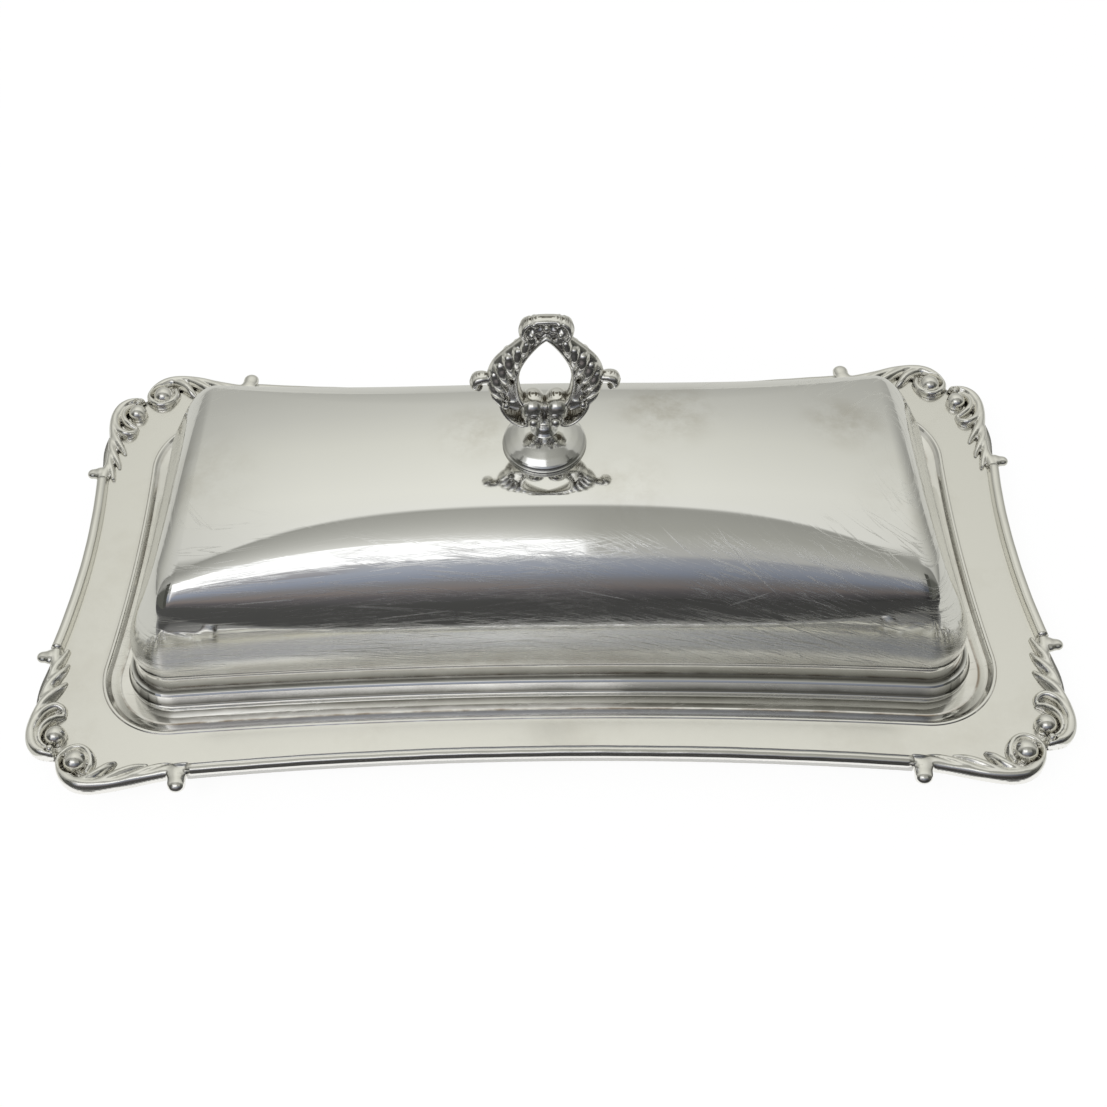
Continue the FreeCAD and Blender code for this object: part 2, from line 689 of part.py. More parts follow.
def drawArch(sketch, halfBase, height, topRadius, shoulderRadius):
    """A closed arch: base, leaning walls, tangent shoulders and a wide top arc."""
    centre, turn, crownY, lean = archShape(halfBase.value, height.value, topRadius.value,
                                           shoulderRadius.value)
    half = halfBase.value
    radius = shoulderRadius.value
    quarter = math.pi / 2
    wallTop = vector(centre.x - radius * math.cos(lean), centre.y + radius * math.sin(lean), 0)
    left = vector(-half, 0, 0)
    right = vector(half, 0, 0)
    base = sketch.addGeometry(Part.LineSegment(left, right), False)
    rightWall = sketch.addGeometry(Part.LineSegment(right, vector(-wallTop.x, wallTop.y, 0)), False)
    rightCircle = Part.Circle(vector(-centre.x, centre.y, 0), upward, radius)
    rightArc = sketch.addGeometry(Part.ArcOfCircle(rightCircle, lean, quarter - turn), False)
    topCircle = Part.Circle(vector(0, crownY, 0), upward, topRadius.value)
    topArc = sketch.addGeometry(Part.ArcOfCircle(topCircle, quarter - turn, quarter + turn), False)
    leftCircle = Part.Circle(centre, upward, radius)
    leftArc = sketch.addGeometry(Part.ArcOfCircle(leftCircle, quarter + turn, 2 * quarter - lean),
                                 False)
    leftWall = sketch.addGeometry(Part.LineSegment(wallTop, left), False)
    sketch.addConstraint([
        Sketcher.Constraint("Coincident", base, 2, rightWall, 1),
        Sketcher.Constraint("Coincident", leftWall, 2, base, 1),
        Sketcher.Constraint("Tangent", rightWall, 2, rightArc, 1),
        Sketcher.Constraint("Tangent", rightArc, 2, topArc, 1),
        Sketcher.Constraint("Tangent", topArc, 2, leftArc, 1),
        Sketcher.Constraint("Tangent", leftArc, 2, leftWall, 1),
        Sketcher.Constraint("PointOnObject", topArc, 3, -2),
        Sketcher.Constraint("PointOnObject", base, 1, -1),
        Sketcher.Constraint("PointOnObject", base, 2, -1),
        Sketcher.Constraint("Equal", rightArc, leftArc),
    ])
    dimension(sketch, "DistanceX", (base, 1, -1, 1), halfBase, "leftBase")
    dimension(sketch, "DistanceX", (-1, 1, base, 2), halfBase, "rightBase")
    dimension(sketch, "Radius", (rightArc,), shoulderRadius, "shoulder")
    dimension(sketch, "Radius", (topArc,), topRadius, "top")
    dimension(sketch, "DistanceY", (-1, 1, topArc, 3), height - topRadius, "crown")
    baseAngle = Size(90.0, "90") - size["coverLean"]
    dimension(sketch, "Angle", (rightWall, 1, base, 2), baseAngle, "rightLean")
    dimension(sketch, "Angle", (base, 1, leftWall, 2), baseAngle, "leftLean")


# How far round the end of the cover each section of the loft stands, as shares of a quarter
# turn, and how far along the straight part of the cover the others stand. The shoulders
# tighten towards the ends, slowly at first, by this power of the share.
endTurnShares = (0.25, 0.5, 0.75, 1.0)
runShares = (0.0, 0.3, 0.5, 0.7, 0.85, 1.0)
shoulderPower = 3.5
rightAngle = Size(90.0, "90")


def creasePlace(tag, endBase, tall, crown, crease):
    """Centre of the crease over the end wall, and how far the top has turned down there."""
    lean = size["endLean"]
    alongX = -sineOf(lean)
    alongZ = cosineOf(lean)
    startX = endBase - crease * cosineOf(lean)
    startZ = -(crease * sineOf(lean))
    crownZ = workOut(tag + "CrownZ", tall - crown)
    linear = workOut(tag + "CreaseLinear", startX * alongX + (startZ - crownZ) * alongZ)
    constant = workOut(tag + "CreaseConstant", startX * startX
                       + (startZ - crownZ) * (startZ - crownZ)
                       - (crown - crease) * (crown - crease))
    slide = workOut(tag + "CreaseSlide", rootOf(linear * linear - constant) - linear)
    creaseX = workOut(tag + "CreaseX", startX + slide * alongX)
    creaseZ = workOut(tag + "CreaseZ", startZ + slide * alongZ)
    turn = workOut(tag + "CreaseTurn", arcTangentOf(creaseX / (creaseZ - crownZ)))
    return creaseX, creaseZ, turn


def coverSections(body, tag, inset, base):
    """Sketches of the arch along half of the cover, from the middle to the end wall."""
    thick = size["coverThickness"] * inset
    lean = tangentOf(size["coverLean"])
    tuck = tangentOf(size["endLean"])
    halfFoot = size["footHalfWidth"] - size["footRetreat"]
    wallHalf = halfFoot + (footTop - base) * lean - thick / cosineOf(size["coverLean"])
    tall = workOut(tag + "Tall", size["coverApex"] - thick - base)
    endFoot = size["footHalfLength"] - size["footRetreat"] + (footTop - base) * tuck
    endBase = workOut(tag + "EndBase", endFoot - thick / cosineOf(size["endLean"]))
    cornerRadius = size["footCornerRadius"] - size["footRetreat"] + (footTop - base) * tuck - thick
    crown = size["crownRadius"] - thick
    crease = size["creaseRadius"] - thick
    creaseX, creaseZ, creaseTurn = creasePlace(tag, endBase, tall, crown, crease)
    creaseStart = creaseX + crease * sineOf(creaseTurn)
    roundStart = endBase - cornerRadius
    topRadius = size["topRadius"] - thick
    middleShoulder = size["shoulderRadius"] - thick
    endShoulder = size["endShoulderRadius"] - thick
    sideRadius = size["footSideRadius"] + size["footRetreat"] + thick
    sections = []
    for share in runShares:
        across = roundStart * share
        topX = creaseStart * share
        rise = tall - rimDepth(topX, crown)
        half = wallHalf + rimDepth(across, sideRadius)
        shoulder = middleShoulder - (middleShoulder - endShoulder) * share ** shoulderPower
        sections.append((across, topX, rise, half, topRadius, shoulder))
    for share in endTurnShares:
        fade = Size(1.0, "1") - cosineOf(rightAngle * share)
        lowX = roundStart + cornerRadius * sineOf(rightAngle * share)
        topTurn = creaseTurn + (rightAngle - size["endLean"] - creaseTurn) * share
        topX = creaseX + crease * sineOf(topTurn)
        rise = creaseZ + crease * cosineOf(topTurn)
        half = wallHalf + rimDepth(roundStart, sideRadius) - cornerRadius * fade
        tucked = size["cornerTuck"] * fade
        sections.append((lowX, topX, rise, half, topRadius - tucked, endShoulder - tucked))
    sketches = []
    for turn, (across, topX, rise, half, top, side) in enumerate(sections):
        slope = (across - topX) / rise
        height = rise * rootOf(slope * slope + 1)
        sketch = newSketch(body, tag + "_arch_" + str(turn), "YZ_Plane", across)
        sketch.setExpression("AttachmentOffset.Base.y", base.text)
        if slope.value > 0:
            sketch.AttachmentOffset = FreeCAD.Placement(
                vector(0, base.value, across.value), FreeCAD.Rotation(vector(-1, 0, 0), 1))
            sketch.setExpression("AttachmentOffset.Rotation.Angle", arcTangentOf(slope).text)
        drawArch(sketch, half, height, top, side)
        sketches.append(sketch)
    return sketches


def loftHalf(body, tag, kind, sketches):
    """The straight part and the rounded end of one half, then the other half by symmetry."""
    split = len(runShares)
    features = []
    for name, group in (("run", sketches[:split]), ("end", sketches[split - 1:])):
        feature = body.newObject("PartDesign::" + kind, tag + "_" + name)
        feature.Profile = group[0]
        feature.Sections = group[1:]
        features.append(feature)
    doc.recompute()
    mirrored = body.newObject("PartDesign::Mirrored", tag + "_other_half")
    plane = [item for item in body.Origin.OriginFeatures if item.Role == "YZ_Plane"][0]
    mirrored.Originals = features
    mirrored.MirrorPlane = (plane, [""])
    body.Tip = mirrored
    doc.recompute()


def coverShell():
    """The stamped arched cover, open below, with a hole for the finial's stud."""
    body = newBody("cover_shell")
    outer = coverSections(body, "outer", 0, coverBase)
    loftHalf(body, "outer", "AdditiveLoft", outer)
    inner = coverSections(body, "inner", 1, coverBase - size["cutOverrun"])
    loftHalf(body, "inner", "SubtractiveLoft", inner)
    hole = newSketch(body, "stud_hole", "XY_Plane", size["coverApex"] + size["cutOverrun"])
    drawCircle(hole, size["studRadius"] + size["studGap"])
    pocket(body, "stud_hole_cut", hole, size["coverThickness"] + size["cutOverrun"] * 2)


def drawCircle(sketch, radius, height=None):
    """A circle round the sketch's origin, or at a height above it."""
    if height is None:
        ring = Part.Circle(vector(0, 0, 0), upward, radius.value)
        circle = sketch.addGeometry(ring, False)
        sketch.addConstraint(Sketcher.Constraint("Coincident", circle, 3, -1, 1))
    else:
        ring = Part.Circle(vector(0, height.value, 0), upward, radius.value)
        circle = sketch.addGeometry(ring, False)
        sketch.addConstraint(Sketcher.Constraint("PointOnObject", circle, 3, -2))
        dimension(sketch, "DistanceY", (-1, 1, circle, 3), height, "centre" + str(circle))
    dimension(sketch, "Radius", (circle,), radius, "circle" + str(circle))


def finialFoot():
    """The turned foot under the finial, bored for the stud."""
    body = newBody("finial_foot")
    section = newSketch(body, "finial_foot_section", "XZ_Plane")
    bottom = size["coverApex"] - rimDepth(size["finialFootRadius"], size["topRadius"])
    rim = size["finialFootRim"]
    bore = size["studRadius"] + size["studGap"]
    drawProfile(section, [
        (bore, bottom),
        (size["finialFootRadius"], bottom),
        (size["finialFootRadius"], bottom + rim),
        (size["finialFootRadius"] - rim, bottom + rim * 2),
        (size["finialWaistRadius"], bottom + size["finialFootRise"] / 2, rim),
        (size["finialNeckRadius"], size["coverApex"] + size["finialFootRise"]),
        (bore, size["coverApex"] + size["finialFootRise"]),
    ])
    feature = body.newObject("PartDesign::Revolution", "finial_foot_turn")
    feature.Profile = section
    feature.ReferenceAxis = (section, ["V_Axis"])
    saddle = newSketch(body, "finial_foot_saddle", "YZ_Plane")
    drawCircle(saddle, size["topRadius"], size["coverApex"] - size["topRadius"])
    cutLength = (size["finialFootRadius"] + size["cutOverrun"]) * 2
    cut = pocket(body, "finial_foot_saddle_cut", saddle, cutLength)
    cut.Midplane = True


def pin(name, bottom, length, radius):
    body = newBody(name)
    plan = newSketch(body, name + "_plan", "XY_Plane", bottom)
    drawCircle(plan, radius)
    pad(body, name + "_length", plan, length)
    return body


def finialFixings():
    """Stud, washer and nut that hold the finial to the cover from inside."""
    innerTop = size["topRadius"] - size["coverThickness"]
    ceiling = (size["coverApex"] - size["coverThickness"]
               - rimDepth(size["washerRadius"], innerTop))
    footTopLevel = size["coverApex"] + size["finialFootRise"]
    bottom = ceiling - size["washerThickness"] - size["studBelow"]
    pin("finial_stud", bottom, footTopLevel + size["studSocket"] - bottom, size["studRadius"])
    body = newBody("finial_washer")
    plan = newSketch(body, "washer_plan", "XY_Plane", ceiling - size["washerThickness"])
    drawCircle(plan, size["washerRadius"])
    drawCircle(plan, size["studRadius"] + size["studGap"])
    pad(body, "washer_length", plan, size["washerThickness"])
    body = newBody("finial_nut")
    level = ceiling - size["washerThickness"] - size["nutThickness"]
    plan = newSketch(body, "nut_plan", "XY_Plane", level)
    drawHexagon(plan, size["nutAcross"])
    drawCircle(plan, size["studRadius"] + size["studGap"])
    pad(body, "nut_length", plan, size["nutThickness"])


def drawHexagon(sketch, across):
    """A regular hexagon on a construction circle."""
    radius = across / math.sqrt(3)
    corners = []
    for turn in range(6):
        angle = math.radians(60 * turn)
        corners.append(vector(radius.value * math.cos(angle), radius.value * math.sin(angle), 0))
    first = sketch.GeometryCount
    for turn in range(6):
        sketch.addGeometry(Part.LineSegment(corners[turn], corners[(turn + 1) % 6]), False)
    circle = sketch.addGeometry(Part.Circle(vector(0, 0, 0), vector(0, 0, 1), radius.value), True)
    rules = [Sketcher.Constraint("Coincident", circle, 3, -1, 1)]
    for turn in range(6):
        rules.append(Sketcher.Constraint("Coincident", first + turn, 2, first + (turn + 1) % 6, 1))
        rules.append(Sketcher.Constraint("PointOnObject", first + turn, 1, circle))
    for turn in range(1, 6):
        rules.append(Sketcher.Constraint("Equal", first, first + turn))
    rules.append(Sketcher.Constraint("PointOnObject", first, 1, -1))
    sketch.addConstraint(rules)
    dimension(sketch, "Radius", (circle,), radius, "hexagonRadius")


# The finial is drawn in its own plane: a place is a share of the half span sideways and a share
# of the height above the cover, and a third number is a thickness as a share of the depth.
armShares = [(0.26, 0.845, 0.31), (0.38, 0.76, 0.36), (0.52, 0.665, 0.38), (0.62, 0.57, 0.37),
             (0.75, 0.505, 0.30)]
beadShares = [(0.43, 0.73, 0.41), (0.56, 0.64, 0.42), (0.65, 0.555, 0.42)]
lowerArmShares = [(0.785, 0.447, 0.25), (0.675, 0.376, 0.265), (0.53, 0.295, 0.265),
                  (0.40, 0.216, 0.265), (0.26, 0.165, 0.25)]
bandShares = [(0.07, 0.845, 0.15), (0.22, 0.768, 0.14), (0.345, 0.663, 0.14),
              (0.393, 0.558, 0.14), (0.368, 0.447, 0.15), (0.29, 0.36, 0.18)]
bodyShares = [(0.16, 0.25, 0.35), (0.165, 0.38, 0.41), (0.17, 0.49, 0.17)]
knobShare = (0.828, 0.505, 0.43)
eyeShare = (0.155, 0.255, 0.27)
eyeForward = 0.42
crestShares = [(0.345, 0.853), (0.36, 0.90), (0.30, 0.96), (0.20, 1.0)]


def finialPlace(sideShare, heightShare, sign):
    return vector(size["finialHalfSpan"].value * sideShare * sign, 0,
                  (size["coverApex"] + size["finialHeight"] * heightShare).value)


def finialBar(shares, sign):
    depth = size["finialDepth"].value
    places = [finialPlace(side, height, sign) for side, height, girth in shares]
    return tube(places, [depth * girth for side, height, girth in shares], acrossDish)


def finialCasting():
    """The cast openwork: a crest, two lobed arms, lower scrolls and a double body."""
    depth = size["finialDepth"].value
    pieces = []
    for sign in (-1, 1):
        pieces.append(finialBar(armShares, sign))
        pieces.append(finialBar(lowerArmShares, sign))
        pieces.append(finialBar(bandShares, sign))
        for side, height, girth in beadShares + [knobShare]:
            pieces.append(Part.makeSphere(depth * girth, finialPlace(side, height, sign)))
        eye = finialPlace(eyeShare[0], eyeShare[1], sign)
        for facing in (-1, 1):
            forward = vector(0, depth * eyeForward * facing, 0)
            pieces.append(Part.makeSphere(depth * eyeShare[2], eye + forward))
        pieces.append(finialBar(bodyShares, sign))
    corners = [finialPlace(side, height, 1) for side, height in crestShares]
    corners += [finialPlace(side, height, -1) for side, height in reversed(crestShares)]
    shift = vector(0, -depth / 2, 0)
    crest = Part.Face(Part.makePolygon([corner + shift for corner in corners + corners[:1]]))
    pieces.append(crest.extrude(vector(0, depth, 0)))
    neckLevel = (size["coverApex"] + size["finialFootRise"]).value
    stem = Part.makeCylinder(size["finialNeckRadius"].value, size["finialTenon"].value,
                             vector(0, 0, neckLevel))
    casting = stem.fuse(pieces)
    span = size["finialHalfSpan"].value
    below = Part.makeBox(span * 2, span * 2, span,
                         vector(-span, -span, neckLevel - span))
    socket = Part.makeCylinder((size["studRadius"] + size["studGap"]).value,
                               (size["studSocket"] + size["studGap"]).value, vector(0, 0, neckLevel))
    casting = casting.cut(below).cut(socket)
    feature = doc.addObject("Part::Feature", "finial_openwork")
    feature.Shape = casting.Solids[0] if len(casting.Solids) == 1 else casting
    keep(feature, "finial_casting")


def buildAll():
    traySheet()
    rimMoulding("side_moulding_front", size["rimHalfWidth"], size["rimSideRadius"],
                sideButt - size["solderGap"], 0)
    rimMoulding("side_moulding_back", size["rimHalfWidth"], size["rimSideRadius"],
                sideButt - size["solderGap"], 180)
    rimMoulding("end_moulding_right", size["rimHalfLength"], size["rimEndRadius"],
                endButt - size["solderGap"], 90)
    rimMoulding("end_moulding_left", size["rimHalfLength"], size["rimEndRadius"],
                endButt - size["solderGap"], 270)
    casting = cornerCasting()
    placeCasting("corner_scroll_front_left", casting, -1, -1)
    placeCasting("corner_scroll_front_right", casting, 1, -1)
    placeCasting("corner_scroll_back_left", casting, -1, 1)
    placeCasting("corner_scroll_back_right", casting, 1, 1)
    glassLiner()
    coverFoot()
    coverShell()
    finialFoot()
    finialCasting()
    finialFixings()
    doc.recompute()


def checkAll():
    """Stops before anything is written if an object failed or a shape is not sound."""
    for item in doc.Objects:
        if "Invalid" in item.State or "Error" in item.State:
            raise RuntimeError(item.Name + " failed: " + str(item.State))
    for item in subParts:
        shape = item.Shape
        if shape.isNull() or not shape.isValid() or not shape.Solids:
            raise RuntimeError(item.Label + " has no sound solid")
        print(item.Label, len(shape.Solids), round(shape.Volume, 1), shape.BoundBox)


def writeAll():
    os.makedirs("parts", exist_ok=True)
    for item in subParts:
        item.Shape.exportStep(os.path.join("parts", item.Label + ".step"))


buildAll()
checkAll()
writeAll()
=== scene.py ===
import math
import bmesh
import bpy
import numpy as np
from mathutils import Matrix, Vector


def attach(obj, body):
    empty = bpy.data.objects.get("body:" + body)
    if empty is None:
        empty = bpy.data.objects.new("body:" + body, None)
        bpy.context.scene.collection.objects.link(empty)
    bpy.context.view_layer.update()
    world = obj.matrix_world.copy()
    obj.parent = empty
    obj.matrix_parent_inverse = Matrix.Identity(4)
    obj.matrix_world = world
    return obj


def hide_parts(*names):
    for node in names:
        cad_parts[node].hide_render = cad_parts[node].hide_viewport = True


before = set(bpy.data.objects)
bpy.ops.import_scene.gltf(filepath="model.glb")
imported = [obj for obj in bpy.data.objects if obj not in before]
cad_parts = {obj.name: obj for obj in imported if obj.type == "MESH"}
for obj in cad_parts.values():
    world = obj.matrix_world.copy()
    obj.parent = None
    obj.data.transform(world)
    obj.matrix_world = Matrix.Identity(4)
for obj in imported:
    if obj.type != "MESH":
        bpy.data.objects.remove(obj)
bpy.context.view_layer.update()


mm = 0.001
print("frame loaded")

# Every length below is in millimetres. Meshes are turned into metres in addMesh.


def addMesh(name, verts, faces, body, nodes):
    mesh = bpy.data.meshes.new(name)
    mesh.from_pydata((np.asarray(verts, float) * mm).tolist(), [], [tuple(int(i) for i in f) for f in faces])
    mesh.polygons.foreach_set("use_smooth", [True] * len(mesh.polygons))
    # every face looks outwards
    bm = bmesh.new()
    bm.from_mesh(mesh)
    bmesh.ops.recalc_face_normals(bm, faces=bm.faces)
    bm.to_mesh(mesh)
    bm.free()
    mesh.update()
    obj = bpy.data.objects.new(name, mesh)
    bpy.context.scene.collection.objects.link(obj)
    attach(obj, body)
    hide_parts(*nodes)
    return obj


def ringFaces(rings, count, first=0, closeRings=False):
    # quads between closed rings that all have the same number of points
    faces = []
    for i in range(rings if closeRings else rings - 1):
        a = first + i * count
        b = first + ((i + 1) % rings) * count
        for j in range(count):
            k = (j + 1) % count
            faces.append((a + j, a + k, b + k, b + j))
    return faces


def lineFaces(rows, cols, first=0):
    # quads between open lines that all have the same number of points
    faces = []
    for i in range(rows - 1):
        for j in range(cols - 1):
            a = first + i * cols + j
            faces.append((a, a + 1, a + cols + 1, a + cols))
    return faces


def dishLoop(halfLength, halfWidth, sideRadius, endRadius, corner, perSide=150, perEnd=70, perCorner=36):
    # a rectangle with slightly hollow sides and round corners, anticlockwise, and its outward directions
    sideY = halfWidth + sideRadius
    endX = halfLength + endRadius
    fromSide = sideRadius + corner
    fromEnd = endRadius + corner
    apart = math.hypot(endX, sideY)
    along = (fromSide ** 2 - fromEnd ** 2 + apart ** 2) / (2 * apart)
    off = math.sqrt(fromSide ** 2 - along ** 2)
    ux, uy = endX / apart, -sideY / apart
    cx = along * ux + off * uy
    cy = sideY + along * uy - off * ux
    side = math.atan2(cx, sideY - cy)
    end = math.atan2(cy, endX - cx)
    pts, nrm = [], []
    for phi in np.linspace(-end, end, perEnd, endpoint=False):
        pts.append((endX - endRadius * math.cos(phi), endRadius * math.sin(phi)))
        nrm.append((math.cos(phi), -math.sin(phi)))
    for a in np.linspace(-end, math.pi / 2 + side, perCorner, endpoint=False):
        pts.append((cx + corner * math.cos(a), cy + corner * math.sin(a)))
        nrm.append((math.cos(a), math.sin(a)))
    for psi in np.linspace(side, -side, perSide, endpoint=False):
        pts.append((sideRadius * math.sin(psi), sideY - sideRadius * math.cos(psi)))
        nrm.append((-math.sin(psi), math.cos(psi)))
    for a in np.linspace(math.pi / 2 - side, math.pi + end, perCorner, endpoint=False):
        pts.append((-cx + corner * math.cos(a), cy + corner * math.sin(a)))
        nrm.append((math.cos(a), math.sin(a)))
    half = np.array(pts), np.array(nrm)
    return np.vstack([half[0], -half[0]]), np.vstack([half[1], -half[1]])


def roundedProfile(points, steps=6):
    # (across, height, radius) corners joined by straight runs, each corner rounded by its radius
    out = []
    last = len(points) - 1
    for i, point in enumerate(points):
        p = np.array(point[:2], float)
        radius = point[2] if len(point) > 2 else 0
        if radius == 0 or i in (0, last):
            out.append(p)
            continue
        a = np.array(points[i - 1][:2], float) - p
        b = np.array(points[i + 1][:2], float) - p
        a, b = a / np.linalg.norm(a), b / np.linalg.norm(b)
        half = math.acos(np.clip(a @ b, -1, 1)) / 2
        run = radius / math.tan(half)
        centre = p + (a + b) / np.linalg.norm(a + b) * radius / math.sin(half)
        start, stop = p + a * run - centre, p + b * run - centre
        turn = math.atan2(start[0] * stop[1] - start[1] * stop[0], start @ stop)
        for t in np.linspace(0, turn, steps + 1):
            c, s = math.cos(t), math.sin(t)
            out.append(centre + (start[0] * c - start[1] * s, start[0] * s + start[1] * c))
    return np.array(out)


def sweepRound(pts, nrm, profile):
    # one ring of points for each place on the profile: across is measured outward from the loop
    rings = []
    for across, height in profile:
        ring = np.column_stack([pts + nrm * across, np.full(len(pts), height)])
        rings.append(ring)
    return np.vstack(rings)


def smoothStep(x, low, high):
    # 0 at low, 1 at high, also when low is the larger
    t = np.clip((x - low) / (high - low), 0, 1)
    return t * t * (3 - 2 * t)


# Relief: a cast piece is a field that is negative inside it, turned into a mesh by surface nets

def surfaceNet(field, low, pitch):
    # one point in each cell that the surface passes through, and one quad round each edge that it cuts
    inside = field < 0
    nx, ny, nz = field.shape
    mixed = np.zeros((nx - 1, ny - 1, nz - 1), bool)
    corners = [(i, j, k) for i in (0, 1) for j in (0, 1) for k in (0, 1)]

    def part(a, i, j, k):
        return a[i:nx - 1 + i, j:ny - 1 + j, k:nz - 1 + k]

    first = part(inside, 0, 0, 0)
    for c in corners[1:]:
        mixed |= part(inside, *c) != first
    cells = np.argwhere(mixed)
    number = -np.ones(mixed.shape, np.int64)
    number[mixed] = np.arange(len(cells))
    total = np.zeros((len(cells), 3))
    count = np.zeros(len(cells))
    for a in corners:
        for axis in range(3):
            if a[axis]:
                continue
            b = list(a)
            b[axis] = 1
            fa = field[tuple((cells + a).T)]
            fb = field[tuple((cells + b).T)]
            cross = (fa < 0) != (fb < 0)
            t = np.where(cross, fa / np.where(cross, fa - fb, 1), 0)
            place = np.tile(np.array(a, float), (len(cells), 1))
            place[:, axis] += t
            total[cross] += place[cross]
            count[cross] += 1
    verts = np.array(low) + (cells + total / count[:, None]) * pitch
    faces = []
    for axis in range(3):
        u, v = (axis + 1) % 3, (axis + 2) % 3
        step = [0, 0, 0]
        step[axis] = 1
        a = inside[:nx - step[0], :ny - step[1], :nz - step[2]]
        b = inside[step[0]:, step[1]:, step[2]:]
        for rising in (False, True):
            edges = np.argwhere((a & ~b) if not rising else (~a & b))
            edges = edges[(edges[:, u] > 0) & (edges[:, v] > 0)]
            quad = []
            for du, dv in ((0, 0), (1, 0), (1, 1), (0, 1)):
                cell = edges.copy()
                cell[:, u] -= 1 - du
                cell[:, v] -= 1 - dv
                quad.append(number[tuple(cell.T)])
            quad = np.array(quad).T
            faces.append(quad if not rising else quad[:, ::-1])
    return verts, np.vstack(faces)


def relax(verts, faces, rounds, share=0.5):
    # evens out the mesh a little, as casting and polishing do
    edges = np.vstack([faces[:, [0, 1]], faces[:, [1, 2]], faces[:, [2, 3]], faces[:, [3, 0]]])
    for _ in range(rounds):
        total = np.zeros_like(verts)
        count = np.zeros(len(verts))
        for a, b in ((0, 1), (1, 0)):
            np.add.at(total, edges[:, a], verts[edges[:, b]])
            np.add.at(count, edges[:, a], 1)
        verts = verts + share * (total / np.maximum(count, 1)[:, None] - verts)
    return verts


def strokeShare(x, y, line):
    # line is a list of (x, y, half width, top). Gives, at each place, the share of the way from the stroke's
    # middle to its edge, above 1 outside it, and the stroke's top there.
    best = np.full(x.shape, 1e9)
    top = np.zeros(x.shape)
    for (x0, y0, w0, h0), (x1, y1, w1, h1) in zip(line, line[1:]):
        dx, dy = x1 - x0, y1 - y0
        t = np.clip(((x - x0) * dx + (y - y0) * dy) / (dx * dx + dy * dy), 0, 1)
        q = np.hypot(x - x0 - t * dx, y - y0 - t * dy) / (w0 + (w1 - w0) * t)
        near = q < best
        best = np.where(near, q, best)
        top = np.where(near, h0 + (h1 - h0) * t, top)
    return best, top


def smoothLine(points, steps=5):
    # a smooth line through rows of numbers, by Catmull-Rom
    p = np.array(points, float)
    p = np.vstack([2 * p[0] - p[1], p, 2 * p[-1] - p[-2]])
    out = []
    for i in range(1, len(p) - 2):
        for t in np.linspace(0, 1, steps, endpoint=False):
            out.append(0.5 * (2 * p[i] + (p[i + 1] - p[i - 1]) * t
                              + (2 * p[i - 1] - 5 * p[i] + 4 * p[i + 1] - p[i + 2]) * t * t
                              + (3 * p[i] - p[i - 1] - 3 * p[i + 1] + p[i + 2]) * t ** 3))
    out.append(p[-2])
    return np.array(out)


def blendMax(a, b, soft):
    # the larger of the two, with a soft seam between them
    h = np.clip(0.5 + 0.5 * (a - b) / soft, 0, 1)
    return b + (a - b) * h + soft * h * (1 - h)


def cavity(values, rounds=10):
    # how far each place on a height map lies below its surroundings
    soft = values.copy()
    for _ in range(rounds):
        soft[1:-1, 1:-1] = (soft[1:-1, 1:-1] * 2 + soft[:-2, 1:-1] + soft[2:, 1:-1] + soft[1:-1, :-2]
                            + soft[1:-1, 2:]) / 6
    return soft - values


def paintedShadeAt(dark, places, low, pitch):
    # what the map of hollows says at each of the places
    cells = ((places - np.array(low)) / pitch).round().astype(int)
    i = np.clip(cells[:, 0], 0, dark.shape[0] - 1)
    j = np.clip(cells[:, 1], 0, dark.shape[1] - 1)
    return np.clip(dark[i, j], 0, 1.5)


def storeValue(obj, name, values):
    layer = obj.data.attributes.new(name, "FLOAT", "POINT")
    layer.data.foreach_set("value", np.asarray(values, np.float32))


# Tray pan: satin border, rolled step down to the ledge, and the well that the cover hides

panSizes = {
    "rim": (116.0, 58.3, 914.0, 214.0, 24.0),
    "rimInset": 1.0,
    "step": (102.2, 47.0, 1200.0, 450.0, 17.0),
    "borderHeight": 7.5,
    "ledgeHeight": 5.0,
    "ledgeRise": 0.92,       # the ledge climbs a little towards the step
    "stepRun": 2.75,
    "ledgeWidth": 9.2,
    "wellRun": 1.2,
    "sheet": 1.0,
    "flatRings": 9,          # rings on the border, from the edge to the step
    # (offset from the step line, reach, strength) of the painted shade lines along the rolled step, darkest
    # in the crevice at its foot
    "tarnishAndShade": [(-2.95, 0.3, 0.9), (-0.75, 0.3, 0.55), (0.75, 0.15, 0.45)],
}


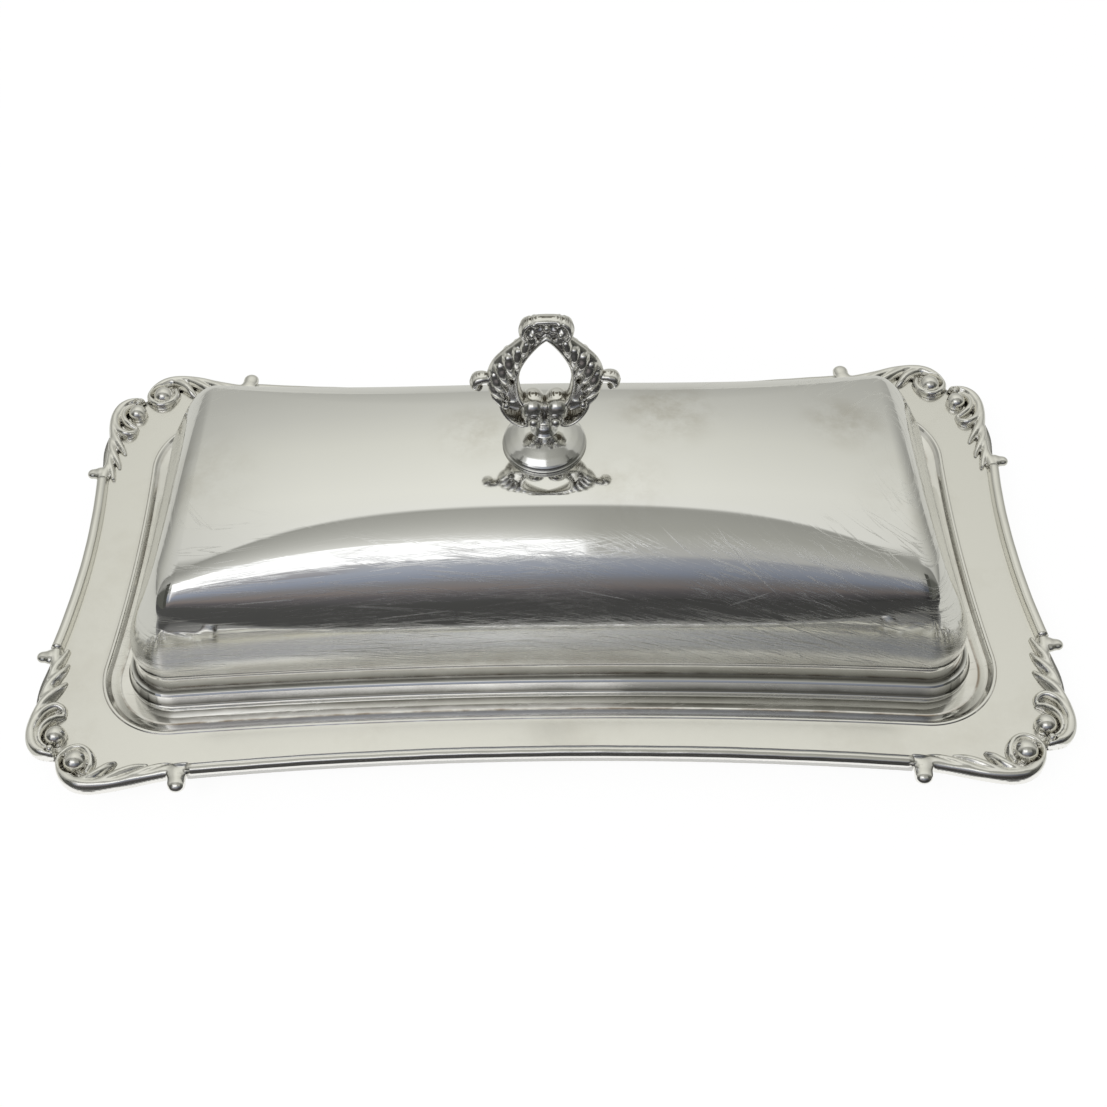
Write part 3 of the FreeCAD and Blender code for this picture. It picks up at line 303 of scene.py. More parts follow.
def buildPan():
    s = panSizes
    rimA, rimB, rimR, rimE, rimC = s["rim"]
    inset = s["rimInset"]
    edge, _ = dishLoop(rimA - inset, rimB - inset, rimR + inset, rimE + inset, rimC - inset)
    pts, nrm = dishLoop(*s["step"])
    border, ledge, sheet, rise = s["borderHeight"], s["ledgeHeight"], s["sheet"], s["ledgeRise"]
    flatRings = s["flatRings"]
    shelf = -s["stepRun"]
    lip = shelf - s["ledgeWidth"]
    floor = lip - s["wellRun"]
    top = roundedProfile([
        (1.9, border), (0.78, border, 0.2), (0.6, border + 0.22, 0.2), (0.1, border + 0.24, 0.3),
        (-0.35, border - 0.35, 0.3), (-1.0, border - 0.85, 0.3), (-1.6, border - 1.1, 0.25),
        (shelf + 0.35, ledge + rise + 0.13, 0.2), (shelf - 0.15, ledge + rise - 0.08, 0.2),
        (shelf - 0.55, ledge + rise, 0.2), (shelf - 4.75, ledge, 1.0), (lip, ledge, 0.9),
        (floor, sheet, 0.9), (floor - 3, sheet)])
    under = roundedProfile([
        (floor - 3, 0), (floor + 0.5, 0, 0.9), (lip + 0.9, ledge - sheet, 0.6),
        (shelf + 0.6, ledge - sheet, 0.8),
        (0.7, border - sheet, 0.8), (1.9, border - sheet)])
    rings = [np.column_stack([edge, np.full(len(edge), border)])]
    inner = pts + nrm * top[0][0]
    for t in np.linspace(0.12, 0.92, flatRings - 1):
        rings.append(np.column_stack([edge + (inner - edge) * t, np.full(len(edge), border)]))
    rings.append(sweepRound(pts, nrm, top))
    rings.append(sweepRound(pts, nrm, under))
    inner = pts + nrm * under[-1][0]
    for t in (0.3, 0.6, 0.9):
        rings.append(np.column_stack([inner + (edge - inner) * t, np.full(len(edge), border - sheet)]))
    rings.append(np.column_stack([edge, np.full(len(edge), border - sheet)]))
    verts = np.vstack(rings)
    count = len(edge)
    upper = flatRings + len(top)
    total = len(verts) // count
    faces = ringFaces(upper, count)
    faces.append(tuple(range((upper - 1) * count, upper * count)))
    faces += ringFaces(total - upper, count, upper * count)
    faces.append(tuple(range((upper + 1) * count - 1, upper * count - 1, -1)))
    last = (total - 1) * count
    for j in range(count):
        k = (j + 1) % count
        faces.append((last + j, last + k, k, j))
    pan = addMesh("pan_sheet", verts, faces, "tray", ["tray_pan"])
    # the border is satin, everything from the rolled step inwards is polished
    polishedFrom = flatRings + 2
    inward = np.array([min(f) // count >= polishedFrom and max(f) // count < upper + 1 for f in faces])
    # painted shade: dark lines along the rolled step, kept for the ledge's colour
    tarnishAndShade = np.zeros((total, count))
    for i in range(flatRings, upper):
        offset = top[i - flatRings][0]
        for place, reach, strength in s["tarnishAndShade"]:
            tarnishAndShade[i] = np.maximum(tarnishAndShade[i], strength * math.exp(-((offset - place) / reach) ** 2))
    storeValue(pan, "paintedShade", tarnishAndShade.ravel())
    return pan, inward


# Rim mouldings between the corner castings: a rolled edge, a groove and a bead

mouldingSizes = {
    # (distance from the middle of the dish, radius, half length) of the long and the short ones
    "side": (58.3, 914.0, 80.0),
    "end": (116.0, 214.0, 27.1),
    "section": [(0.0, 6.5), (0.0, 8.5, 0.5), (0.4, 9.45, 0.6), (1.55, 9.95, 1.3), (2.5, 9.2, 0.8),
                (2.68, 7.9, 0.25), (2.8, 7.52)],
    "seat": [(0.9, 7.52), (0.9, 6.5)],      # the step that grips the edge of the pan
    # (height, turns along it, phase) of its unevenness, as a hand-finished casting is never perfectly even
    "waves": [(0.05, 0.21, 1), (0.03, 0.67, 2)],
    "wavesFrom": 7.6,
}


def buildMoulding(name, node, half, radius, reach, turn):
    s = mouldingSizes
    section = np.vstack([roundedProfile(s["section"], 5), np.array(s["seat"])])
    count = len(section)
    limit = math.asin(reach / radius)
    verts = []
    places = np.linspace(-limit, limit, 121 if reach > 50 else 61)
    for a in places:
        wave = sum(high * math.sin(a * radius * rate + phase * turn) for high, rate, phase in s["waves"])
        for across, height in section:
            r = radius + across
            lift = wave * max(0, height - s["wavesFrom"]) / 2
            verts.append((r * math.sin(a), -(half + radius) + r * math.cos(a), height + lift))
    verts = np.array(verts)
    c, sn = math.cos(turn), math.sin(turn)
    x, y, z = verts.T
    placed = np.column_stack([x * c - y * sn, x * sn + y * c, z])
    faces = []
    for i in range(len(places) - 1):
        for j in range(count):
            k = (j + 1) % count
            faces.append((i * count + j, i * count + k, (i + 1) * count + k, (i + 1) * count + j))
    faces.append(tuple(range(count - 1, -1, -1)))
    faces.append(tuple((len(places) - 1) * count + j for j in range(count)))
    return addMesh(name, placed, faces, "tray", [node])


# Corner castings: two scrolls back to back, leaf lobes along both arms and a bud at each end.
# Places are drawn on the corner at +x +y and mirrored to the others.

castingSizes = {
    "pitch": 0.2,
    "low": (78.8, 25.4, 6.2),
    "high": (121.4, 67.0, 11.6),
    "bottom": 6.5,
    "ground": 7.3,           # height of the casting between its strokes
    "edgeRound": 0.55,
    "butts": (80.0, 27.2),   # where the two arms meet the mouldings
    # outer edge, from the butt of the long arm round the notch to the butt of the short arm
    "edge": [(80.0, 61.8), (80.6, 61.9), (81.3, 62.0), (83.0, 62.0), (85.2, 62.4), (88.0, 63.0),
             (91.2, 63.8), (94.5, 64.6),
             (97.5, 65.2), (100.5, 65.6), (103.2, 65.5), (105.6, 64.7), (107.7, 63.2), (109.1, 61.1),
             (109.8, 59.2),
             (110.3, 57.5), (112.2, 57.1), (114.3, 56.7), (116.2, 55.5), (117.7, 53.4), (118.5, 50.6),
             (118.6, 47.8),
             (118.2, 44.6), (117.6, 41.6), (117.1, 38.5), (116.9, 35.6), (116.9, 33.0), (117.2, 31.0),
             (117.5, 29.6),
             (117.7, 28.6), (117.72, 27.2)],
    # (x, y, half width, top) along each raised stroke
    "strokes": [
        [(80.0, 60.4, 1.5, 9.4), (84.0, 60.7, 1.5, 9.3), (88.0, 61.6, 1.45, 9.3), (92.0, 62.5, 1.5, 9.5),
         (96.0, 63.6, 1.6, 9.7),
         (100.0, 64.1, 1.6, 9.9), (103.2, 63.9, 1.7, 10.0), (105.6, 63.0, 1.7, 10.0),
         (107.4, 61.4, 1.6, 9.9),
         (108.5, 59.6, 1.4, 9.8), (108.9, 57.8, 1.3, 9.8), (108.2, 55.9, 1.15, 9.7),
         (106.6, 54.7, 1.05, 9.6),
         (104.9, 54.5, 1.0, 9.5), (103.3, 55.4, 1.0, 9.4), (102.2, 57.0, 1.0, 9.3), (101.9, 58.9, 1.0, 9.1),
         (102.4, 60.6, 0.9, 8.9)],
        [(116.3, 27.2, 1.4, 9.4), (115.8, 30.5, 1.4, 9.4), (115.5, 34.5, 1.35, 9.3),
         (115.6, 38.5, 1.35, 9.4),
         (116.2, 42.5, 1.4, 9.6), (116.9, 46.5, 1.5, 9.9), (117.0, 50.2, 1.55, 10.1),
         (116.2, 53.2, 1.55, 10.1),
         (114.6, 55.1, 1.4, 10.0), (112.6, 55.9, 1.2, 9.8), (111.2, 56.2, 1.0, 9.4)],
        [(117.0, 50.4, 1.3, 9.8), (116.4, 47.0, 1.3, 9.9), (115.0, 44.6, 1.25, 10.0),
         (113.0, 43.5, 1.15, 9.8), (111.4, 44.0, 1.0, 9.3),
         (110.8, 45.2, 0.7, 8.7)],
        [(110.9, 46.0, 0.8, 8.8), (112.2, 46.6, 1.0, 9.5), (113.7, 47.8, 1.1, 9.9),
         (114.8, 49.7, 1.05, 9.9), (114.9, 51.7, 0.95, 9.7),
         (114.0, 53.4, 0.9, 9.4), (112.6, 54.4, 0.8, 9.2)],
        [(103.6, 63.2, 1.1, 9.6), (101.4, 62.6, 1.4, 10.0), (99.4, 61.1, 1.4, 10.0),
         (97.9, 59.4, 1.15, 9.4), (96.8, 58.4, 0.7, 8.4)],
        [(99.8, 63.8, 1.1, 9.6), (97.2, 62.8, 1.35, 9.9), (94.6, 61.2, 1.35, 9.8),
         (92.0, 59.8, 1.1, 9.2), (89.6, 59.0, 0.6, 8.2)],
        [(94.4, 62.8, 1.0, 9.3), (91.6, 61.8, 1.2, 9.6), (88.6, 60.4, 1.2, 9.4), (85.6, 59.3, 0.9, 8.9),
         (82.8, 58.9, 0.55, 8.1)],
        [(88.4, 61.4, 0.8, 9.1), (85.4, 60.4, 1.0, 9.3), (82.2, 59.4, 0.9, 9.0), (80.0, 59.1, 0.8, 8.9)],
        [(117.2, 46.4, 1.1, 9.6), (116.2, 43.2, 1.35, 9.9), (114.8, 40.6, 1.3, 9.8),
         (113.3, 38.4, 1.0, 9.1), (112.3, 36.8, 0.6, 8.2)],
        [(116.7, 41.0, 1.0, 9.4), (115.9, 38.0, 1.2, 9.7), (114.6, 35.4, 1.15, 9.5),
         (113.4, 33.2, 0.85, 8.9), (112.8, 31.6, 0.5, 8.1)],
        [(116.2, 36.0, 0.9, 9.2), (115.5, 33.2, 1.05, 9.5), (114.6, 30.8, 0.95, 9.3),
         (113.9, 28.6, 0.7, 8.8), (113.6, 27.2, 0.6, 8.6)],
    ],
    # how the plan closes inside the border, from the short arm back to the long one
    "innerEdge": [(112.6, 27.2), (111.2, 38.0), (109.4, 47.0), (100.6, 56.4), (92.0, 58.2), (80.0, 58.2)],
    # (x, y, radius, height of its middle)
    "balls": [(111.3, 51.4, 2.5, 8.25), (105.4, 58.1, 2.75, 8.2), (111.7, 55.0, 0.9, 9.0)],
    # (x, y, z, radii) of the buds at the ends of the arms
    "buds": [((117.2, 29.4, 8.2), (1.8, 2.0, 1.3)), ((119.1, 29.4, 8.1), (1.55, 1.45, 1.15)),
             ((82.3, 61.4, 8.3), (2.2, 1.9, 1.35)), ((82.1, 62.7, 8.2), (1.75, 1.7, 1.35)),
             ((81.9, 64.0, 8.1), (2.1, 1.95, 1.6))],
}


def edgeDistance(x, y, line):
    # signed distance to a closed line in plan, below 0 inside
    best = np.full(x.shape, 1e9)
    crossings = np.zeros(x.shape, int)
    for (x0, y0), (x1, y1) in zip(line, np.roll(line, -1, 0)):
        dx, dy = x1 - x0, y1 - y0
        t = np.clip(((x - x0) * dx + (y - y0) * dy) / (dx * dx + dy * dy + 1e-12), 0, 1)
        best = np.minimum(best, np.hypot(x - x0 - t * dx, y - y0 - t * dy))
        spans = (y0 > y) != (y1 > y)
        at = x0 + (y - y0) * dx / np.where(dy == 0, 1e-12, dy)
        crossings += spans & (x < at)
    return np.where(crossings % 2 == 1, -best, best)


def castingRelief(x, y):
    # height of the front of the casting at each place
    s = castingSizes
    ground = s["ground"]
    relief = np.full(x.shape, ground)
    for line in s["strokes"]:
        q, top = strokeShare(x, y, smoothLine(line))
        raised = ground + (top - ground) * np.sqrt(np.clip(1 - q * q, 0, 1))
        lobe = np.where(q < 1, raised, ground - (q - 1) * 2)
        relief = blendMax(relief, lobe, 0.42)
    for bx, by, radius, height in s["balls"]:
        d = np.hypot(x - bx, y - by)
        # a hollow runs round the outer side of each ball, cut before the ball is raised
        outward = ((x - bx) + (y - by)) / (1.414 * np.maximum(d, 0.01))
        hollow = (ground + 0.3 + 2.4 * (1 - smoothStep(outward, -0.3, 0.7))
                  + 2.4 * smoothStep(d, radius * 0.95, radius * 1.4))
        relief = -blendMax(-relief, -hollow, 0.25)
        raised = height + np.sqrt(np.clip(radius ** 2 - d * d, 0, None))
        relief = blendMax(relief, np.where(d < radius, raised, ground - (d - radius) * 2), 0.2)
    return relief


def castingMesh():
    s = castingSizes
    pitch, edgeRound = s["pitch"], s["edgeRound"]
    axes = [np.arange(a, b, pitch) for a, b in zip(s["low"], s["high"])]
    x, y = np.meshgrid(axes[0], axes[1], indexing="ij")
    z = axes[2][None, None, :]
    relief = castingRelief(x, y)
    plan = edgeDistance(x, y, np.vstack([smoothLine(s["edge"], 4), s["innerEdge"]]))
    # the front rolls over at the outer edge
    field = z - relief[:, :, None]
    edge = plan[:, :, None] + edgeRound
    rim = np.sqrt(np.clip(field + edgeRound, 0, None) ** 2 + np.clip(edge, 0, None) ** 2) - edgeRound
    rolls = (field > -edgeRound) & (edge > 0)
    field = np.where(rolls, np.maximum(field, rim), np.maximum(field, plan[:, :, None]))
    field = np.maximum(field, s["bottom"] - z)
    # over the pan's border the casting only exists where a stroke stands up from it
    onBorder = edgeDistance(x, y, castingSeat())[:, :, None]
    field = np.maximum(field, -np.maximum(onBorder, z - s["ground"] - 0.15))
    for (cx, cy, cz), (rx, ry, rz) in s["buds"]:
        flat = ((x - cx) / rx) ** 2 + ((y - cy) / ry) ** 2
        bud = np.sqrt(flat[:, :, None] + ((z - cz) / rz) ** 2) - 1
        bud = bud * min(rx, ry, rz)
        field = -blendMax(-field, -bud, 0.5)
    field = np.maximum(field, (s["butts"][0] - x)[:, :, None])
    field = np.maximum(field, (s["butts"][1] - y)[:, :, None])
    field = np.maximum(field, s["bottom"] - z)
    verts, faces = surfaceNet(field, s["low"], pitch)
    verts = relax(verts, faces, 5, 0.4)
    # painted shade: the hollows of the relief darken the colour
    return verts, faces, paintedShadeAt(cavity(relief, 14), verts[:, :2], s["low"][:2], pitch)


def castingSeat():
    # the edge of the pan, which the castings reach over
    rimA, rimB, rimR, rimE, rimC = panSizes["rim"]
    inset = panSizes["rimInset"] - 0.1
    return dishLoop(rimA - inset, rimB - inset, rimR + inset, rimE + inset, rimC - inset, 60, 30, 20)[0]


def buildCastings():
    verts, faces, dark = castingMesh()
    made = []
    # the four corners are one design, mirrored
    for name, sx, sy in (("front_left", -1, -1), ("front_right", 1, -1),
                         ("back_left", -1, 1), ("back_right", 1, 1)):
        turned = faces if sx * sy > 0 else faces[:, ::-1]
        obj = addMesh("scroll_" + name, verts * (sx, sy, 1), turned, "tray",
                      ["corner_scroll_" + name])
        storeValue(obj, "paintedShade", dark)
        made.append(obj)
    return made


# Cover: arched shell with leaning ends and softly rounded creases

coverSizes = {
    "base": 11.0,
    "apex": 48.0,
    "sheet": 1.0,
    "halfWidth": 36.2,       # at footTop
    "halfLength": 95.3,      # at footTop
    "footTop": 13.0,
    "lean": 4.5,
    "cornerLean": 10.0,      # the long walls lean more towards the ends
    "endLean": 20.0,
    "crownRadius": 650.0,    # the ridge drops a little from the middle to the ends
    "topRadius": 90.0,
    "shoulder": 25.5,
    "endShoulder": 9.5,      # the shoulders tighten towards the ends
    "tighten": 3.5,
    "sideRadius": 1323.0,
    "endHollow": 760.0,
    "corner": 8.8,
    "crease": 8.0,           # round of the edge between the ridge and the end wall
    "bulge": 2.2,            # how far the ends swell outward a third of the way up
    "tuck": 2.5,             # how much the arch's radii shrink round the corner
}


def archLine(half, height, top, shoulder, lean, count):
    # points of an arch above its base line, even along its length, from -half to +half
    sx, cx = math.sin(lean), math.cos(lean)
    px, pz = -half + shoulder * cx, -shoulder * sx
    crown = height - top
    linear = px * sx + (pz - crown) * cx
    constant = px * px + (pz - crown) ** 2 - (top - shoulder) ** 2
    slide = -linear + math.sqrt(linear ** 2 - constant)
    ox, oz = px + slide * sx, pz + slide * cx
    join = math.atan2(-ox, oz - crown)
    line = [(-half, 0.0)]
    wall = (ox - shoulder * cx, oz + shoulder * sx)
    for t in np.linspace(0, 1, 30)[1:]:
        line.append((-half + (wall[0] + half) * t, wall[1] * t))
    for a in np.linspace(math.pi - lean, math.pi / 2 + join, 160)[1:]:
        line.append((ox + shoulder * math.cos(a), oz + shoulder * math.sin(a)))
    for a in np.linspace(join, 0, 60)[1:]:
        line.append((-top * math.sin(a), crown + top * math.cos(a)))
    line = np.array(line)
    line = np.vstack([line, (line * (-1, 1))[-2::-1]])
    run = np.concatenate([[0], np.cumsum(np.hypot(*np.diff(line, axis=0).T))])
    even = np.linspace(0, run[-1], count)
    return np.column_stack([np.interp(even, run, line[:, 0]), np.interp(even, run, line[:, 1])])


def rimDepth(along, radius):
    # how far an arc of this radius has dropped at this distance from its middle
    return radius - math.sqrt(radius ** 2 - along ** 2)


def endCrease(endBase, tall, crown, crease, endLean):
    # middle of the round between the end wall and the crowned ridge, and the ridge's turn where it starts
    alongX, alongZ = -math.sin(endLean), math.cos(endLean)
    startX, startZ = endBase - crease * alongZ, crease * alongX
    linear = startX * alongX + (startZ - tall + crown) * alongZ
    constant = startX ** 2 + (startZ - tall + crown) ** 2 - (crown - crease) ** 2
    slide = math.sqrt(linear ** 2 - constant) - linear
    creaseX, creaseZ = startX + slide * alongX, startZ + slide * alongZ
    return creaseX, creaseZ, math.atan2(creaseX, creaseZ - tall + crown)


def swellShape(up):
    # 1 a third of the way up the wall, 0 at its foot and top
    return 6.75 * up * (1 - up) ** 2


def coverSkin(inset, count=241):
    # rows of points over the shell, outside for inset 0 and inside, one sheet deeper, for inset 1
    s = coverSizes
    lean, endLean = math.radians(s["lean"]), math.radians(s["endLean"])
    cornerLean = math.radians(s["cornerLean"])
    base = s["base"] - (0.0 if inset == 0 else 0.001)
    thick = s["sheet"] * inset
    drop = s["footTop"] - base
    wallHalf = s["halfWidth"] + drop * math.tan(lean) - thick / math.cos(lean)
    endBase = s["halfLength"] + drop * math.tan(endLean) - thick / math.cos(endLean)
    corner = s["corner"] + drop * math.tan(endLean) - thick
    crease = s["crease"] - thick
    crown = s["crownRadius"] - thick
    tall = s["apex"] - thick - base
    creaseX, creaseZ, creaseTurn = endCrease(endBase, tall, crown, crease, endLean)
    creaseStart = creaseX + crease * math.sin(creaseTurn)
    roundStart = endBase - corner
    side = s["sideRadius"] + thick
    top, shoulder, endShoulder = s["topRadius"] - thick, s["shoulder"] - thick, s["endShoulder"] - thick
    rows = []
    for share in np.linspace(0, 1, 90, endpoint=False):
        # plane sections that lean a little more towards the end
        across, topX = roundStart * share, creaseStart * share
        rise = tall - rimDepth(topX, crown)
        half = wallHalf + rimDepth(across, side)
        tight = shoulder - (shoulder - endShoulder) * share ** s["tighten"]
        leaning = lean + (cornerLean - lean) * share ** 1.5
        swell = s["bulge"] * smoothStep(share, 0.8, 1.0)
        rows.append((across, (across - topX) / rise, half, rise, top, tight, leaning, swell, 0.0))
    for share in np.linspace(0, 1, 34):
        turn = math.pi / 2 * share
        fade = 1 - math.cos(turn)
        lowX = roundStart + corner * math.sin(turn)
        topTurn = creaseTurn + (math.pi / 2 - endLean - creaseTurn) * share
        topX = creaseX + crease * math.sin(topTurn)
        rise = creaseZ + crease * math.cos(topTurn)
        half = wallHalf + rimDepth(roundStart, side) - corner * fade
        tuck = s["tuck"] * fade
        flat = smoothStep(share, 0.4, 1.0)
        rows.append((lowX, (lowX - topX) / rise, half, rise, top - tuck, endShoulder - tuck, cornerLean,
                     s["bulge"], flat))
    skin = []
    for across, slope, half, rise, top, shoulder, leaning, swell, flat in rows:
        stretch = math.sqrt(1 + slope * slope)
        line = archLine(half, rise * stretch, top, shoulder, leaning, count)
        z = line[:, 1] / stretch
        up = z / rise
        x = across - slope * z + flat * line[:, 0] ** 2 / (2 * s["endHollow"]) + swell * swellShape(up)
        skin.append(np.column_stack([x, line[:, 0], base + z]))
    # the flat end wall closes in rings towards its middle
    last = skin[-1]
    middle = np.array([last[:, 0].mean(), 0.0, base + 0.45 * (last[:, 2].max() - base)])
    for share in (0.97, 0.9, 0.8, 0.65, 0.5, 0.35, 0.2, 0.08):
        ring = middle + (last - middle) * share
        ring[:, 2] = base + (last[:, 2] - base) * share
        slope, up = rows[-1][1], (ring[:, 2] - base) / rows[-1][3]
        ring[:, 0] = rows[-1][0] - slope * (ring[:, 2] - base) + ring[:, 1] ** 2 / (2 * s["endHollow"])
        ring[:, 0] += s["bulge"] * swellShape(up)
        skin.append(ring)
    half = np.array(skin)
    other = half[1:][::-1] * (-1, 1, 1)
    return np.vstack([other, half])


def buildCover():
    outer, inner = coverSkin(0), coverSkin(1)
    rows, cols = outer.shape[:2]
    flat = outer.reshape(-1, 3), inner.reshape(-1, 3)
    verts = np.vstack(flat)
    n = rows * cols
    faces = [f[::-1] for f in lineFaces(rows, cols)]
    faces += lineFaces(rows, cols, n)
    for first, outward in ((0, True), (n, False)):
        for row in (0, rows - 1):
            # the slit left in the middle of each end wall, down to the base line
            a = first + row * cols
            ring = list(range(a, a + cols))
            if (row == 0) == outward:
                ring = ring[::-1]
            faces.append(tuple(ring))
    for j in (0, cols - 1):
        for i in range(rows - 1):
            a, b = i * cols + j, (i + 1) * cols + j
            face = (a, b, b + n, a + n)
            faces.append(face if j else face[::-1])
    for i in (0, rows - 1):
        a, b = i * cols, i * cols + cols - 1
        face = (a, b, b + n, a + n)
        faces.append(face if i else face[::-1])
    return addMesh("cover_dome", verts, faces, "cover", ["cover_shell"])


# Stepped moulding round the foot of the cover

footSizes = {
    "loop": (98.5, 39.4, 1320.0, 700.0, 12.0),
    "section": [(-4.7, 5.0), (-0.1, 5.0, 0.1), (0.0, 5.35, 0.2), (-0.12, 5.75, 0.2), (-0.42, 5.95, 0.12),
                (-1.0, 8.2, 0.3),
                (-1.4, 8.6, 0.25), (-2.2, 8.8, 0.2), (-2.32, 9.15, 0.12), (-3.0, 12.0, 0.3),
                (-3.15, 12.5, 0.2),
                (-3.25, 12.95, 0.15), (-3.45, 12.95, 0.1), (-3.47, 11.0), (-4.7, 11.0)],
    # heights between which the foot's risers get painted shade, standing for dark reflections, and how dark
    # each is
    "tarnishAndShade": [(5.72, 8.1, 1.5), (8.75, 11.9, 1.5), (12.85, 12.99, 1.2)],
    "pipsFrom": 12.4,
    "pipHeight": 0.45,
}


def buildFoot():
    pts, nrm = dishLoop(*footSizes["loop"])
    section = roundedProfile(footSizes["section"], 5)
    verts = sweepRound(pts, nrm, section)
    faces = ringFaces(len(section), len(pts), 0, True)
    # small solder pips along the top line, thickest at the corners
    rng = np.random.default_rng(7)
    top = section[:, 1] > footSizes["pipsFrom"]
    weight = np.exp(-((np.abs(pts[:, 0]) - 92) / 9) ** 2) * smoothStep(np.abs(pts[:, 1]), 20, 36)
    noiseRow = np.convolve(rng.uniform(-1, 1, len(pts) + 2), (0.25, 0.5, 0.25), "same")[1:-1]
    grid = verts.reshape(len(section), len(pts), 3)
    for i in np.nonzero(top)[0]:
        tall = footSizes["pipHeight"] * (section[i, 1] - footSizes["pipsFrom"])
        grid[i, :, 2] += np.clip(noiseRow, -0.2, 1) * weight * tall
    verts = grid.reshape(-1, 3)
    foot = addMesh("cover_foot_band", verts, faces, "cover", ["cover_foot_moulding"])
    # painted shade: the lower part of each riser is darkened in the colour, standing for dark reflections
    dark = np.zeros(len(section))
    for low, high, strength in footSizes["tarnishAndShade"]:
        dark[(section[:, 1] > low) & (section[:, 1] < high)] = strength
    storeValue(foot, "paintedShade", np.repeat(dark, len(pts)))
    return foot


# Finial foot: turned bell on a saddle that fits the arch

finialFootSizes = {
    "saddle": 90.0,          # radius of the arch that it stands on
    "saddleFade": (48.9, 52.5),
    "section": [(1.75, 48.6), (9.3, 48.0), (9.55, 48.25, 0.2), (9.4, 48.6, 0.15), (9.1, 48.75, 0.1),
                (9.3, 49.1, 0.2), (9.15, 49.5, 0.25), (8.8, 49.8, 0.3), (7.6, 50.6, 5.0), (6.0, 51.4, 6.0),
                (4.4, 51.95, 6.0), (2.9, 52.3, 0.8), (2.3, 53.0, 0.5), (2.2, 54.6), (1.75, 54.6)],
}


def buildFinialFoot():
    s = finialFootSizes
    section = roundedProfile(s["section"], 8)
    count = 120
    verts = []
    for radius, height in section:
        for a in np.linspace(0, 2 * math.pi, count, endpoint=False):
            x, y = radius * math.cos(a), radius * math.sin(a)
            drop = rimDepth(y, s["saddle"])
            keep = 1 - smoothStep(height, *s["saddleFade"])
            verts.append((x, y, height - drop * keep))
    faces = ringFaces(len(section), count, 0, True)
    return addMesh("finial_bell", verts, faces, "cover", ["finial_foot"])


# Finial casting: the same relief on both faces of an openwork plate.
# Places are (x, z, half width, half depth) on the right half, and the left half mirrors them.

